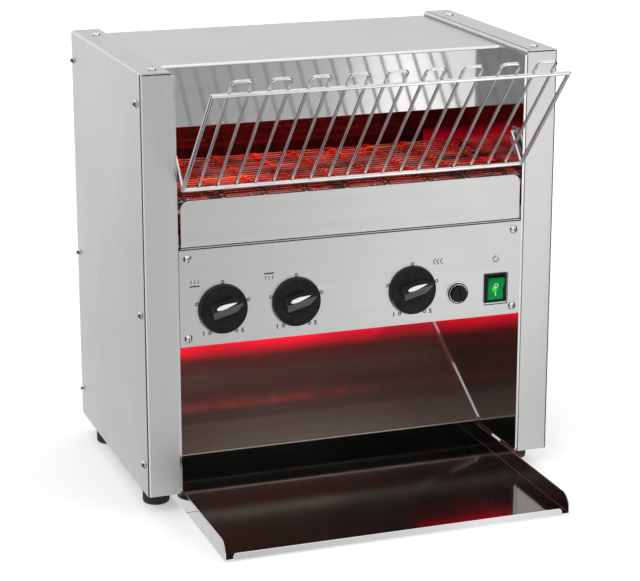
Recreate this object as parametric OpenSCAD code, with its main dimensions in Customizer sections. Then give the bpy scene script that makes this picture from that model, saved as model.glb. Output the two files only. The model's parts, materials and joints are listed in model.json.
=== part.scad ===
// Conveyor toaster, countertop, horizontal wire belt with quartz elements above and below it.
// Bread leans on the wire rack at the front, rides over the belt, drops at the back and slides
// out over the chute onto the tray. Origin: middle of the footprint at the soles of the feet,
// +X to the right, +Y to the back, +Z up.

/* [Case] */
// Width over the two side covers
case_w = 412; // [380:1:500]
// Depth from the front posts to the rear cover
case_d = 261; // [250:1:320]
// Thickness of the case sheets
sheet = 1.2; // [0.8:0.1:1.6]
// Width of the front posts and of the top flanges
post_w = 31; // [29:0.5:40]
// Strip of inner wall seen beside each post
reveal = 2.6; // [1.5:0.1:4]
// Step from the top flange down to the top plate
top_step = 4.6; // [3.5:0.1:8]
// Rounding of the heat shield's upper corners
shield_round = 8; // [4:0.5:14]
// Gap between the heat shield's ends and the inner walls
shield_side = 2.4; // [1:0.1:4]
// Gap between neighbouring sheets that don't touch
seam = 2.8; // [1.5:0.1:4]
// Outer radius of the folds in the covers
fold_r = 3; // [2:0.25:4]

/* [Heights] */
// Clear height of the outlet under the control panel
outlet_h = 144.5; // [125:1:180]
// Height of the control panel
panel_h = 92.8; // [84:0.2:110]
// Clear height between the belt and the hood
mouth_h = 59.5; // [45:1:80]
// Height of the polished hood at the front
hood_h = 58.8; // [54:0.2:80]
// Hood face behind the front posts
hood_setback = 59.3; // [50:0.1:75]

/* [Conveyor] */
// Radius of the belt around its shafts
belt_r = 16; // [14:0.5:18]
// Belt's front end behind the front posts
belt_setback = 12; // [8:0.5:20]
// Room behind the belt for the bread to drop
drop_gap = 64; // [58:1:90]
// Radius of the two conveyor shafts
shaft_r = 5; // [4:0.25:6]
// Radial running clearance of shafts, pins and rotors
running = 0.05; // [0.03:0.01:0.08]
// Pitch of the belt's cross wires
belt_pitch = 9; // [7:0.5:12]
// Radius of the belt's cross wires
belt_wire_r = 1.1; // [0.8:0.1:1.2]
// Outer sprockets in from the belt's edges
sprocket_edge = 11.4; // [8:0.1:16]
// Pitch of the drive chain
chain_pitch = 6.35; // [6:0.05:8]
// Teeth of the two chain sprockets
chain_teeth = 16; // [14:1:18]

/* [Heating] */
// Radius of the quartz tubes
tube_r = 5; // [4:0.25:6]
// Quartz tubes above the belt
upper_tubes = 4; // [3:1:5]
// Quartz tubes between the belt's runs
lower_tubes = 3; // [2:1:3]
// Height of the upper tubes over the belt
upper_lift = 78; // [70:1:82]

/* [Chute and tray] */
// Slope of the chute, in degrees
chute_angle = 29; // [24:0.5:32]
// Front edge of the chute behind the front posts
chute_front = 92; // [80:1:105]
// Gap between the chute's slope and the inner walls
chute_side = 0.4; // [0.3:0.1:4]
// Height of the slope's turned-up edges
chute_edge = 3; // [2:0.5:6]
// Reach of the tray in front of the posts
tray_reach = 128; // [90:1:150]
// Height of the tray's walls
tray_wall = 18; // [15:0.5:18.4]
// Height of the tray's front lip
tray_lip = 6.5; // [4:0.5:10]
// Rounding at the front end of the tray's walls
tray_round = 14; // [8:0.5:16]
// Clearance of the tray at each side
tray_side_gap = 1.7; // [1:0.1:3]

/* [Rack] */
// Radius of the rack's frame wire
rack_frame_r = 2; // [1.5:0.1:2.4]
// Radius of the rack's slope wires
rack_wire_r = 1.5; // [1:0.1:1.8]
// Rise of the rack from its bottom wire to its top wire
rack_rise = 104; // [80:1:115]
// Reach of the rack from its bottom wire to its top wire
rack_reach = 97; // [80:1:102]
// Spacing of the slope wires
rack_pitch = 17.95; // [15:0.05:22]
// Length of the loops past the top wire, along the slope
rack_loop = 15; // [8:0.5:16]

/* [Controls] */
// Radius of a knob's skirt
knob_r = 24; // [20:0.5:26]
// Height of the knob shafts over the panel's lower edge
knob_rise = 33.8; // [28:0.5:36]
// Radius of a knob's shaft
stem_r = 3; // [2.5:0.25:3.5]
// Knob of the lower elements, from the panel's left edge
knob_1 = 41.6; // [34:0.1:44]
// Knob of the upper elements, from the panel's left edge
knob_2 = 113.9; // [105:0.1:122]
// Speed knob, from the panel's right edge
knob_3 = 112.9; // [105:0.1:120]
// Fuse holder, from the panel's right edge
fuse_x = 65.8; // [60:0.1:72]
// Power switch, from the panel's right edge
switch_x = 26.1; // [25:0.1:34]
// Width of the power switch's bezel
switch_w = 23; // [23:0.5:27]
// Height of the power switch's bezel
switch_h = 28.5; // [28:0.5:33]

/* [Motor, fan and wiring] */
// Width of the gearbox, from the inner wall inwards
gearbox_w = 30; // [25:1:40]
// Height of the gearbox
gearbox_h = 64; // [56:1:70]
// Depth of the gearbox
gearbox_d = 46; // [40:1:48]
// Radius of the motor can
can_r = 25; // [20:0.5:26]
// Length of the motor can
can_len = 44; // [35:1:50]
// Radius of the motor's output shaft
motor_shaft_r = 4; // [3:0.25:5]
// Side of the square fan frame
fan_w = 80; // [60:1:82]
// Thickness of the fan frame
fan_t = 25; // [20:1:26]
// Radius of the fan's hub
fan_hub_r = 15; // [12:0.5:18]
// Radius of the pin the fan turns on
fan_pin_r = 2; // [1.5:0.1:2.5]
// Width of an energy regulator
regulator_w = 36; // [30:1:40]
// Height of an energy regulator
regulator_h = 44; // [36:1:50]
// Depth of an energy regulator
regulator_d = 30; // [24:1:34]
// Width of the speed board
board_w = 70; // [55:1:75]
// Depth of the speed board
board_d = 55; // [45:1:60]
// Radius of the wiring bundle
loom_r = 4; // [3:0.25:5]
// Cable gland in from the case's left side
gland_in = 84; // [70:1:110]
// Reach of the cable gland behind the case
gland_reach = 18; // [14:0.5:24]

/* [Feet and screws] */
// Height of the rubber feet
foot_h = 20; // [20:0.5:30]
// Radius of the rubber feet
foot_r = 13; // [10:0.5:13.5]
// Foot's middle from the case's side
foot_side = 18; // [17:0.5:19]
// Foot's middle from the case's front and back
foot_end = 40; // [25:1:44]
// Radius of the pan heads
head_r = 4; // [3:0.25:4.5]
// Radius of the screws' shanks
screw_r = 2; // [1.5:0.1:2.2]
// Radius of the hole for the mains cable
cable_r = 5; // [4:0.25:6]

/* [Hidden] */
$fn = 48;

// Heights over the case's lower edge
panel_top = outlet_h + panel_h;
reflector_z = panel_top + 4.4;
lower_run_z = reflector_z + 7;
shaft_z = lower_run_z + belt_r;
belt_top = shaft_z + belt_r;
shield_top = belt_top + 3;
hood_z = belt_top + mouth_h;
plate_z = hood_z + hood_h;
case_h = plate_z + top_step;
upper_tube_z = belt_top + upper_lift;
upper_reflector_z = upper_tube_z + tube_r + 8;
tube_over = 8;
tube_hole_gap = 0.3;
cap_wall = 3;
cap_len = 14;
filament_r = 1.6;

// Places across and along the case
half_w = case_w / 2;
wall_in = half_w - post_w - reveal;
wall_out = wall_in + sheet;
side_room = half_w - sheet - wall_out;
panel_half = wall_in - 0.2;
reflector_front = hood_setback + 8;
idler_y = belt_setback + belt_r + belt_wire_r;
drive_y = case_d - drop_gap - belt_r;
shaft_gap = drive_y - idler_y;
reflector_back = drive_y + 22;
box_back = drive_y - 30;
chute_back_y = case_d - sheet - 6;
chute_low = 3.4;
front_y = (tray_reach - case_d - gland_reach) / 2;

// Folds of the sheets
lap_d = 24;
lap_r = fold_r - sheet + 0.6;
post_seam = 1;
foot_fold = 8;
rear_fold = 12;
cover_fold = 14;
hem = 10;
boss_r = 4;
air_slot_h = 4;
air_slot_step = 8;
vent_gap = 34;

// Belt and its sprockets
belt_half = wall_in - 6;
band_r = 1.4;
strip_w = 2;
strip_n = 9;
belt_wires = floor((2 * shaft_gap + 2 * PI * belt_r) / belt_pitch);
sprocket_tip = belt_r - band_r - 0.6;
sprocket_n = 6;
sprocket_pitch = 2 * (belt_half - sprocket_edge) / (sprocket_n - 1);
sprocket_t = 2.5;
bush_r = shaft_r + 3;
clip_gap = 0.3;
clip_t = 1;
groove_r = shaft_r - 0.6;

// Drive chain on the right, outside the inner wall
chain_r = chain_pitch / (2 * sin(180 / chain_teeth));
chain_x = wall_out + 12;
roller_r = 1.6;
chain_in_w = 3.4;
link_t = 0.8;
link_h = 2.7;
motor_y = box_back - gearbox_d / 2 - 3;
motor_z = outlet_h + 44;
motor_shaft_in = gearbox_w / 2;

// Cooling fan in the left compartment
fan_y = 18 + fan_w / 2;
fan_z = outlet_h + 6 + fan_w / 2;
fan_bore_r = fan_w / 2 - 2.5;
fan_hole_r = 2.2;
fan_blades = 7;

// Controls on the panel
stem_z = outlet_h + knob_rise;
knob_x = [-panel_half + knob_1, -panel_half + knob_2, panel_half - knob_3];
fuse_pos = [panel_half - fuse_x, stem_z - 7.6];
switch_pos = [panel_half - switch_x, stem_z - 5.8];
stem_out = 7;
stem_in = 14;
knob_gap = 0.8;
knob_rest = 15;
board_room = 20;
board_post = 6;
board_post_r = 3;
board_t = 1.6;
board_can_r = 6;
sink_h = 16;
fuse_flange_r = 10.4;
fuse_body_r = 6.3;
fuse_bore_r = 4.5;
rocker_tilt = 10;
rocker_pin_r = 1.5;
rocker_y = 4;
rocker_half_w = switch_w / 2 - 3.4;
rocker_half_h = switch_h / 2 - 3.5;

// Mains entry and wiring
gland_pos = [gland_in - half_w, 34];
gland_hole_r = cable_r + 4.8;
gland_nut_r = gland_hole_r + 3.5;
terminal_w = 60;
terminal_d = 17;
terminal_y = case_d - 25 - terminal_d;
loom_ways = [[terminal_y + terminal_d / 2, 14], [fan_y + fan_w / 2 + 14, outlet_h + 20]];
loom_hole_r = loom_r + 3;

// Feed rack
rack_y = -4;
rack_z = shield_top + 11.5;
rack_half = wall_in - 4;
rack_len = norm([rack_reach, rack_rise]);
hairpins = floor(rack_half / rack_pitch);
hook_y = 18;
hook_z = rack_z + 26;

// Tray
tray_half = wall_in - tray_side_gap;
tray_z = -18.4;
tray_back = case_d - 16;
guide_len = 17;

// Screw places
side_screw_y = [14, case_d - 5];
side_screw_z = [28, 175, plate_z - 25];
top_screw_y = [18, case_d - 36];
top_screw_x = half_w - post_w / 2 - 1.5;
panel_screw_in = 8;
rear_screw_x = wall_out + rear_fold / 2;
rear_screw_z = [40, 140, 250, 350];
foot_x = half_w - foot_side;
foot_y = [foot_end, case_d - foot_end];

// ---------------------------------------------------------------- helpers

// Puts a piece that is drawn from the posts' face and the case's lower edge in its place
module in_case() { translate([0, front_y, foot_h]) children(); }

module both_sides() {
    children();
    mirror([1, 0, 0]) children();
}

// Box between two corners
module block(lo, hi) { translate(lo) cube(hi - lo); }

// Round bar along X, from x0 to x1
module bar_x(x0, x1, y, z, r) {
    translate([x0, y, z]) rotate([0, 90, 0]) cylinder(h = x1 - x0, r = r);
}

// Round bar along Y, from y0 to y1
module bar_y(y0, y1, x, z, r) {
    translate([x, y0, z]) rotate([-90, 0, 0]) cylinder(h = y1 - y0, r = r);
}

// Round bar from one point to another
module wire(p, q, r) {
    v = q - p;
    translate(p) rotate([0, acos(v.z / norm(v)), atan2(v.y, v.x)]) cylinder(h = norm(v), r = r);
}

// Bead where two wires meet
module bead(p, r) { translate(p) sphere(r = r + 0.06); }

// Long round outline around two shafts
module oval(gap, r) {
    circle(r);
    translate([gap, 0]) circle(r);
    translate([0, -r]) square([gap, 2 * r]);
}

// Flat loop around two shafts
module loop_band(gap, r_mid, half_t) {
    difference() {
        oval(gap, r_mid + half_t);
        oval(gap, r_mid - half_t);
    }
}

// Sheet with a round tooth gap all round
module toothed_disc(tip, teeth, notch, bore, thick) {
    linear_extrude(thick) difference() {
        circle(tip);
        circle(bore);
        for (i = [0:teeth - 1]) rotate(i * 360 / teeth) translate([tip + notch / 3, 0]) circle(notch);
    }
}

// Rectangle from its lower left corner, its lower right corner rounded
module cornered(w, h, r) {
    translate([0, r]) square([w, h - r]);
    square([w - r, h]);
    translate([w - r, r]) circle(r);
}

// Rectangle from its lower left corner, both upper corners rounded
module arched(w, h, r) {
    square([w, h - r]);
    translate([r, 0]) square([w - 2 * r, h]);
    for (x = [r, w - r]) translate([x, h - r]) circle(r);
}

// Sheet along the lower and the right side of a rectangle, folded between them
module folded(w, h, r) {
    difference() {
        cornered(w, h, r);
        translate([-1, sheet]) cornered(w - sheet + 1, h, r - sheet);
    }
}

// Point at the distance s along a long loop around two shafts, as [along, up]
function loop_point(s, gap, r) =
    s < gap ? [s, r]
    : s < gap + PI * r ? [gap + r * sin((s - gap) / r * 180 / PI), r * cos((s - gap) / r * 180 / PI)]
    : s < 2 * gap + PI * r ? [2 * gap + PI * r - s, -r]
    : [-r * sin((s - 2 * gap - PI * r) / r * 180 / PI), -r * cos((s - 2 * gap - PI * r) / r * 180 / PI)];

// Pan head along +Z with a cross recess, its shank below
module pan_screw(shank) {
    head_h = head_r * 0.75;
    difference() {
        rotate_extrude() intersection() {
            translate([0, -head_r * 0.35]) circle(r = head_r * 1.1);
            square([head_r, head_h]);
        }
        for (a = [0, 90]) rotate(a)
            translate([-head_r * 0.55, -head_r * 0.1, head_h * 0.45])
                cube([head_r * 1.1, head_r * 0.2, head_h]);
    }
    translate([0, 0, -shank]) cylinder(h = shank + 0.1, r = screw_r);
}

module screw_hole(length) { cylinder(h = length, r = screw_r + 0.2, center = true); }

// ---------------------------------------------------------------- case

// Outside of a side cover, or with a gap the room inside it, longer by over at the open ends
module cover_form(gap, over) {
    w = post_w - 2 * gap;
    r = fold_r - gap;
    translate([half_w - post_w + gap, 0, -over]) intersection() {
        translate([0, gap, 0]) linear_extrude(case_h - gap + over)
            cornered(w, case_d - gap + over, r);
        translate([0, case_d + over, 0]) rotate([90, 0, 0]) linear_extrude(case_d + 2 * over)
            arched(w, case_h - gap + over, r);
    }
}

// Side panel, front post and top flange folded from one sheet. The flange steps down to the top
// plate, and a seam parts it from the post.
module side_cover() {
    inner = half_w - post_w;
    color("silver") in_case() difference() {
        cover_form(0, 0);
        cover_form(sheet, 5);
        block([inner - 1, sheet, -1], [inner + 2 * sheet, case_d + 1, plate_z]);
        block(
            [inner - 1, -1, case_h - sheet - post_seam],
            [half_w - fold_r, 2 * sheet, case_h - sheet]);
        for (y = side_screw_y, z = side_screw_z)
            translate([half_w, y, z]) rotate([0, 90, 0]) screw_hole(4 * sheet);
        for (y = top_screw_y) translate([top_screw_x, y, case_h]) screw_hole(4 * sheet);
    }
}
module left_side_cover() { mirror([1, 0, 0]) side_cover(); }
module right_side_cover() { side_cover(); }

// Polished wall of the oven, its flanges turned out towards the side cover. The front flange
// ends in a lap inside the side cover, which takes the front column of side screws.
module inner_wall(is_right) {
    lap_x = half_w - sheet;
    front = sheet;
    color("whitesmoke") in_case() difference() {
        union() {
            block([wall_in, front, 2.4], [wall_out, case_d - 2 * sheet, plate_z]);
            translate([wall_in, front, 2.4]) linear_extrude(plate_z - 2.4)
                folded(lap_x - wall_in, lap_d - front, lap_r);
            block([wall_in, front, plate_z - sheet], [lap_x - 2, case_d - 2 * sheet, plate_z]);
            block(
                [wall_in, front + 2 * sheet, sheet],
                [wall_out + foot_fold, case_d - 2 * sheet, 2 * sheet]);
            block([wall_in, front + 2 * sheet, sheet], [wall_out, case_d - 2 * sheet, 3]);
            block([wall_in, case_d - 2 * sheet, sheet], [wall_out + rear_fold, case_d - sheet, plate_z]);
            for (y = top_screw_y) translate([top_screw_x, y, plate_z - sheet])
                cylinder(h = top_step, r = boss_r);
        }
        for (y = [idler_y, drive_y]) translate([wall_in, y, shaft_z]) rotate([0, 90, 0])
            cylinder(h = 8 * sheet, r = bush_r, center = true);
        for (t = tube_places()) translate([wall_in, t.x, t.y]) rotate([0, 90, 0])
            cylinder(h = 8 * sheet, r = tube_r + tube_hole_gap, center = true);
        for (y = top_screw_y) translate([top_screw_x, y, plate_z]) screw_hole(4 * top_step);
        for (z = side_screw_z) translate([half_w, side_screw_y[0], z]) rotate([0, 90, 0])
            screw_hole(6 * sheet);
        for (z = rear_screw_z) translate([rear_screw_x, case_d, z]) rotate([90, 0, 0])
            screw_hole(8 * sheet);
        if (is_right) {
            // Way for the gearmotor's shaft
            translate([wall_in, motor_y, motor_z]) rotate([0, 90, 0])
                cylinder(h = 8 * sheet, r = motor_shaft_r + 4, center = true);
        } else {
            // Air way of the cooling fan, and the ways of the wiring
            translate([wall_in, fan_y, fan_z]) rotate([0, 90, 0])
                cylinder(h = 8 * sheet, r = fan_bore_r - 1.5, center = true);
            for (p = loom_ways) translate([wall_in, p.x, p.y]) rotate([0, 90, 0])
                cylinder(h = 8 * sheet, r = loom_hole_r, center = true);
        }
    }
}
module left_inner_wall() { mirror([1, 0, 0]) inner_wall(false); }
module right_inner_wall() { inner_wall(true); }

// Top plate, with the polished hood folded down at the front
module top_cover() {
    rear = case_d - sheet;
    color("silver") in_case() {
        translate([-wall_in, 0, 0]) rotate([90, 0, 90]) linear_extrude(2 * wall_in)
            translate([rear, plate_z]) rotate(180) folded(rear - hood_setback, hood_h, fold_r);
        block([-wall_in, hood_setback, hood_z], [wall_in, hood_setback + hem, hood_z + sheet]);
        block([-wall_in, rear - sheet, plate_z - cover_fold], [wall_in, rear, plate_z]);
        both_sides()
            block([wall_in - sheet, hood_setback + fold_r, plate_z - hem], [wall_in, rear, plate_z]);
    }
}

// Rear cover: a shallow tray with air slots, screwed to the inner walls
module rear_cover() {
    edge = half_w - sheet;
    slot_w = side_room - rear_fold;
    vent_w = (2 * wall_in - 4 * vent_gap) / 3;
    color("silver") in_case() difference() {
        union() {
            block([-edge, case_d - sheet, 0], [edge, case_d, plate_z]);
            both_sides() translate([half_w - post_w + sheet, case_d, 0]) rotate([90, 0, 0])
                linear_extrude(sheet) arched(post_w - 2 * sheet, case_h - sheet, lap_r);
            both_sides() block([edge - sheet, case_d - cover_fold, 4], [edge, case_d, plate_z - 4]);
        }
        both_sides() for (i = [0:7]) translate([edge - 3 - slot_w, case_d, 70 + i * air_slot_step])
            air_slot(slot_w);
        for (k = [0:2], i = [0:5]) translate([
            -wall_in + vent_gap + k * (vent_w + vent_gap), case_d, outlet_h + 29 + i * air_slot_step,
        ]) air_slot(vent_w);
        both_sides() for (z = rear_screw_z)
            translate([rear_screw_x, case_d, z]) rotate([90, 0, 0]) screw_hole(4 * sheet);
        both_sides() for (z = side_screw_z)
            translate([half_w, side_screw_y[1], z]) rotate([0, 90, 0]) screw_hole(6 * sheet);
        translate([gland_pos.x, case_d, gland_pos.y]) rotate([90, 0, 0])
            cylinder(h = 4 * sheet, r = gland_hole_r, center = true);
    }
}

// Cut for one air slot in the rear cover, from its lower left corner
module air_slot(w) { translate([0, -2 * sheet, 0]) cube([w, 4 * sheet, air_slot_h]); }

// Base: a plate under the chute, its front edge turned up to carry the slope, with an arm
// under each side compartment
module base_plate() {
    edge = half_w - sheet;
    arm_front = max(fold_r, 2 * sheet);
    rest_in = 24;
    front = chute_front + rest_in;
    rest_h = chute_low - sheet + rest_in * tan(chute_angle) - 0.05;
    slot_w = side_room - 14;
    color("silver") in_case() difference() {
        union() {
            block([-edge, front, 0], [edge, case_d - sheet, sheet]);
            both_sides() block([wall_in, arm_front, 0], [edge, case_d - sheet, sheet]);
            both_sides() block([edge - sheet, lap_d + 1, 0], [edge, case_d - cover_fold - 1, cover_fold]);
            block([-wall_in, front, 0], [wall_in, front + sheet, rest_h]);
        }
        both_sides() for (y = foot_y) translate([foot_x, y, 0]) screw_hole(4 * sheet);
        for (i = [0:5]) both_sides()
            translate([wall_out + foot_fold + 1, front - 16 + i * air_slot_step, -1])
                cube([slot_w, air_slot_h, 4 * sheet]);
    }
}

module control_panel() {
    color("silver") in_case() difference() {
        block([-panel_half, 0, outlet_h], [panel_half, sheet, panel_top]);
        for (x = knob_x) translate([x, 0, stem_z]) rotate([90, 0, 0])
            cylinder(h = 4 * sheet, r = stem_r + 2, center = true);
        translate([fuse_pos.x, 0, fuse_pos.y]) rotate([90, 0, 0])
            cylinder(h = 4 * sheet, r = fuse_body_r, center = true);
        translate([switch_pos.x, 0, switch_pos.y])
            cube([switch_w - 4, 4 * sheet, switch_h - 3], center = true);
        panel_screw_places() rotate([90, 0, 0]) screw_hole(4 * sheet);
    }
}

// Places of the control panel's four corner screws, on its face
module panel_screw_places() {
    for (x = [-1, 1], z = [outlet_h + panel_screw_in, panel_top - panel_screw_in])
        translate([x * (panel_half - panel_screw_in), 0, z]) children();
}

// Plate in front of the belt, its upper corners rounded, on a tab at each inner wall
module heat_shield() {
    low = panel_top + seam;
    half = wall_in - shield_side;
    tab = 12;
    color("silver") in_case() {
        translate([0, sheet, 0]) rotate([90, 0, 0]) linear_extrude(sheet) {
            translate([-half, low]) arched(2 * half, shield_top - low, shield_round);
        }
        block([-half, 0, low], [half, hem, low + sheet]);
        block([-wall_in, 2 * sheet, low], [wall_in, hem, low + sheet]);
        both_sides() block([wall_in - sheet, 2 * sheet, low], [wall_in, hem, low + tab]);
    }
}

// Folded box behind the control panel, which keeps crumbs and heat off the controls
module control_box() {
    lid = panel_top - 1;
    color("lightgray") in_case() difference() {
        union() {
            block([-wall_in, sheet, outlet_h], [wall_in, box_back, outlet_h + sheet]);
            block([-wall_in, box_back - sheet, outlet_h], [wall_in, box_back, lid]);
            block([-wall_in, sheet, lid - sheet], [wall_in, box_back, lid]);
            both_sides() block([wall_in - cover_fold, sheet, outlet_h], [wall_in, 2 * sheet, lid]);
        }
        panel_screw_places() rotate([90, 0, 0]) screw_hole(8 * sheet);
    }
}

// ---------------------------------------------------------------- chute

// Slope with turned-up edges, and the liner behind the drop, bent over to the rear cover
module discharge_chute() {
    half = wall_in - chute_side;
    run = chute_back_y - chute_front;
    rise = run * tan(chute_angle);
    low = chute_low + rise - sheet;
    liner_top = belt_top + 25;
    color("whitesmoke") in_case() {
        slope_plate(-half, 2 * half, run, rise, sheet);
        both_sides() slope_plate(half - sheet, sheet, run, rise, sheet + chute_edge);
        block([-wall_in, chute_back_y - sheet, low], [wall_in, chute_back_y, liner_top]);
        block([-wall_in, chute_back_y - sheet, liner_top - sheet], [wall_in, case_d - sheet, liner_top]);
    }
}

// Sloping plate drawn from its side, from x0 on
module slope_plate(x0, width, run, rise, thick) {
    translate([x0, chute_front, chute_low - sheet]) rotate([90, 0, 90]) linear_extrude(width)
        polygon([[0, 0], [run, rise], [run, rise + thick], [0, thick]]);
}

// ---------------------------------------------------------------- heating

// Quartz tubes, as [behind the front, height]
function tube_places() = concat(
    [for (i = [0:upper_tubes - 1])
        [hood_setback + 22 + i * (drive_y - hood_setback - 18) / (upper_tubes - 1), upper_tube_z]],
    [for (i = [0:lower_tubes - 1])
        [idler_y + 30 + i * (shaft_gap - 78) / (lower_tubes - 1), shaft_z - 3]]);

module quartz_tube(t) {
    end = wall_out + tube_over;
    difference() {
        bar_x(-end, end, t.x, t.y, tube_r);
        bar_x(-end - 1, end + 1, t.x, t.y, tube_r - 1);
    }
    bar_x(-end, end, t.x, t.y, filament_r);
    both_sides() bar_x(end - 4, end, t.x, t.y, tube_r - 0.5);
}
module upper_elements() {
    color("orangered") in_case() for (i = [0:upper_tubes - 1]) quartz_tube(tube_places()[i]);
}
module lower_elements() {
    color("orangered") in_case() for (i = [0:lower_tubes - 1]) quartz_tube(tube_places()[upper_tubes + i]);
}

// Ceramic caps that hold the tubes' ends outside the inner walls, each with its terminal
module element_end_caps() {
    color("ivory") in_case() both_sides() for (t = tube_places()) {
        difference() {
            bar_x(wall_out, wall_out + cap_len, t.x, t.y, tube_r + cap_wall);
            bar_x(wall_out - 1, wall_out + tube_over, t.x, t.y, tube_r);
        }
        bar_x(wall_out + cap_len - 1, wall_out + cap_len + 6, t.x, t.y, 2);
    }
}

module upper_reflector() {
    y0 = reflector_front;
    y1 = reflector_back;
    z = upper_reflector_z;
    color("gainsboro") in_case() {
        block([-wall_in, y0, z], [wall_in, y1, z + sheet]);
        block([-wall_in, y0, z - 10], [wall_in, y0 + sheet, z + sheet]);
        block([-wall_in, y1 - sheet, z - 22], [wall_in, y1, z + sheet]);
    }
}

module lower_reflector() {
    y0 = 16;
    y1 = drive_y + 4;
    color("gainsboro") in_case() {
        block([-wall_in, y0, reflector_z], [wall_in, y1, reflector_z + sheet]);
        block([-wall_in, y1 - sheet, reflector_z - 6], [wall_in, y1, reflector_z + sheet]);
        both_sides() block([wall_in - sheet, y0, reflector_z], [wall_in, y1, reflector_z + 5]);
    }
}

module upper_insulation() {
    color("white") in_case() block(
        [-wall_in + 4, reflector_front + 4, upper_reflector_z + sheet],
        [wall_in - 4, reflector_back - 4, plate_z - sheet - 3]);
}

// ---------------------------------------------------------------- conveyor

module shaft_bushes() {
    color("peru") in_case() both_sides() for (y = [idler_y, drive_y]) difference() {
        union() {
            bar_x(wall_in, wall_out + 4, y, shaft_z, bush_r);
            bar_x(wall_out, wall_out + 2, y, shaft_z, bush_r + 2);
        }
        bar_x(wall_in - 1, wall_out + 5, y, shaft_z, shaft_r + running);
    }
}

// Ring of a retaining clip, or of its groove, just outside a bush
module clip_ring(y, outer) {
    start = wall_out + 4 + clip_gap;
    difference() {
        bar_x(start, start + clip_t, y, shaft_z, outer);
        bar_x(start - 1, start + clip_t + 1, y, shaft_z, groove_r);
    }
}
module clips(y) { color("dimgray") in_case() both_sides() clip_ring(y, bush_r); }

// Shaft with a groove for each clip
module grooved_shaft(y, right_end) {
    difference() {
        bar_x(-wall_out - 8, right_end, y, shaft_z, shaft_r);
        both_sides() clip_ring(y, shaft_r + 1);
    }
}
module idler_shaft() { color("lightgray") in_case() grooved_shaft(idler_y, wall_out + 8); }
module drive_shaft() { color("lightgray") in_case() grooved_shaft(drive_y, chain_x + 8); }
module idler_clips() { clips(idler_y); }
module drive_clips() { clips(drive_y); }

// Small toothed wheels that guide the belt, each with a hub
module belt_sprockets(y) {
    color("silver") in_case() for (i = [0:sprocket_n - 1])
        translate([(i - (sprocket_n - 1) / 2) * sprocket_pitch, y, shaft_z]) rotate([0, 90, 0]) {
        toothed_disc(sprocket_tip, 8, 3, shaft_r, sprocket_t);
        difference() {
            translate([0, 0, sprocket_t - 0.1]) cylinder(h = 6, r = bush_r);
            translate([0, 0, sprocket_t - 1]) cylinder(h = 8, r = shaft_r);
        }
    }
}
module idler_sprockets() { belt_sprockets(idler_y); }
module drive_sprockets() { belt_sprockets(drive_y); }

// Wire belt: cross wires hooked together along narrow strips
module conveyor_belt() {
    length = 2 * shaft_gap + 2 * PI * belt_r;
    color("gray") in_case() {
        for (i = [0:belt_wires - 1]) {
            p = loop_point(i * length / belt_wires, shaft_gap, belt_r);
            bar_x(-belt_half, belt_half, idler_y + p.x, shaft_z + p.y, belt_wire_r);
        }
        for (k = [0:strip_n - 1])
            translate([-belt_half + k * (2 * belt_half - strip_w) / (strip_n - 1), idler_y, shaft_z])
                rotate([90, 0, 90]) linear_extrude(strip_w) loop_band(shaft_gap, belt_r, band_r);
    }
}

// Rails that carry the belt's upper run, welded to two cross bars between the inner walls
module belt_runners() {
    under = belt_top - band_r;
    bar_r = 3;
    in_y = sprocket_tip + bar_r;
    cross_y = [idler_y + in_y, drive_y - in_y];
    color("silver") in_case() {
        for (y = cross_y) bar_x(-wall_in, wall_in, y, under - bar_r - 5, bar_r);
        for (k = [-2, 0, 2]) translate([k * sprocket_pitch, 0, under])
            block([-4, cross_y[0] - 6, -6.5], [4, cross_y[1] + 6, 0]);
    }
}

// Outer chain wheel on the drive shaft, and its mate on the gearmotor
module chain_disc(y, z, bore) {
    translate([chain_x, y, z]) rotate([0, 90, 0]) {
        toothed_disc(chain_r - roller_r - 0.4, chain_teeth, 1.6, bore, chain_in_w - 1);
        difference() {
            translate([0, 0, -4]) cylinder(h = 4.1, r = bore + 3);
            translate([0, 0, -5]) cylinder(h = 6, r = bore);
        }
    }
}
module chain_wheel() { color("dimgray") in_case() chain_disc(drive_y, shaft_z, shaft_r); }

// Roller chain around the two wheels
module drive_chain() {
    gap = norm([drive_y - motor_y, shaft_z - motor_z]);
    tilt = atan2(shaft_z - motor_z, drive_y - motor_y);
    length = 2 * gap + 2 * PI * chain_r;
    rollers = floor(length / chain_pitch);
    start = chain_x - 0.5;
    color("dimgray") in_case() translate([start, motor_y, motor_z]) rotate([tilt, 0, 0]) {
        for (x = [-link_t, chain_in_w]) translate([x, 0, 0])
            rotate([90, 0, 90]) linear_extrude(link_t) loop_band(gap, chain_r, link_h);
        for (i = [0:rollers - 1]) {
            p = loop_point(i * length / rollers, gap, chain_r);
            bar_x(-link_t / 2, chain_in_w + link_t / 2, p.x, p.y, roller_r);
        }
    }
}

// Gearmotor in the control box, its gearbox against the right inner wall
module gearmotor() {
    start = wall_in - gearbox_w;
    color("slategray") in_case() difference() {
        union() {
            block(
                [start, motor_y - gearbox_d / 2 - 1, motor_z - gearbox_h / 2 - 2],
                [wall_in, motor_y + gearbox_d / 2 - 1, motor_z + gearbox_h / 2 - 2]);
            bar_x(start - can_len, start + 1, motor_y - 4, motor_z - 4, can_r);
            bar_x(start - can_len - 6, start - can_len + 1, motor_y - 4, motor_z - 4, can_r / 3);
        }
        bar_x(wall_in - motor_shaft_in - 1, wall_in + 1, motor_y, motor_z, motor_shaft_r + running);
    }
}
module motor_shaft() {
    color("lightgray") in_case() bar_x(
        wall_in - motor_shaft_in, chain_x + 6, motor_y, motor_z, motor_shaft_r);
}
module motor_sprocket() { color("dimgray") in_case() chain_disc(motor_y, motor_z, motor_shaft_r); }

// ---------------------------------------------------------------- cooling fan

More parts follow.
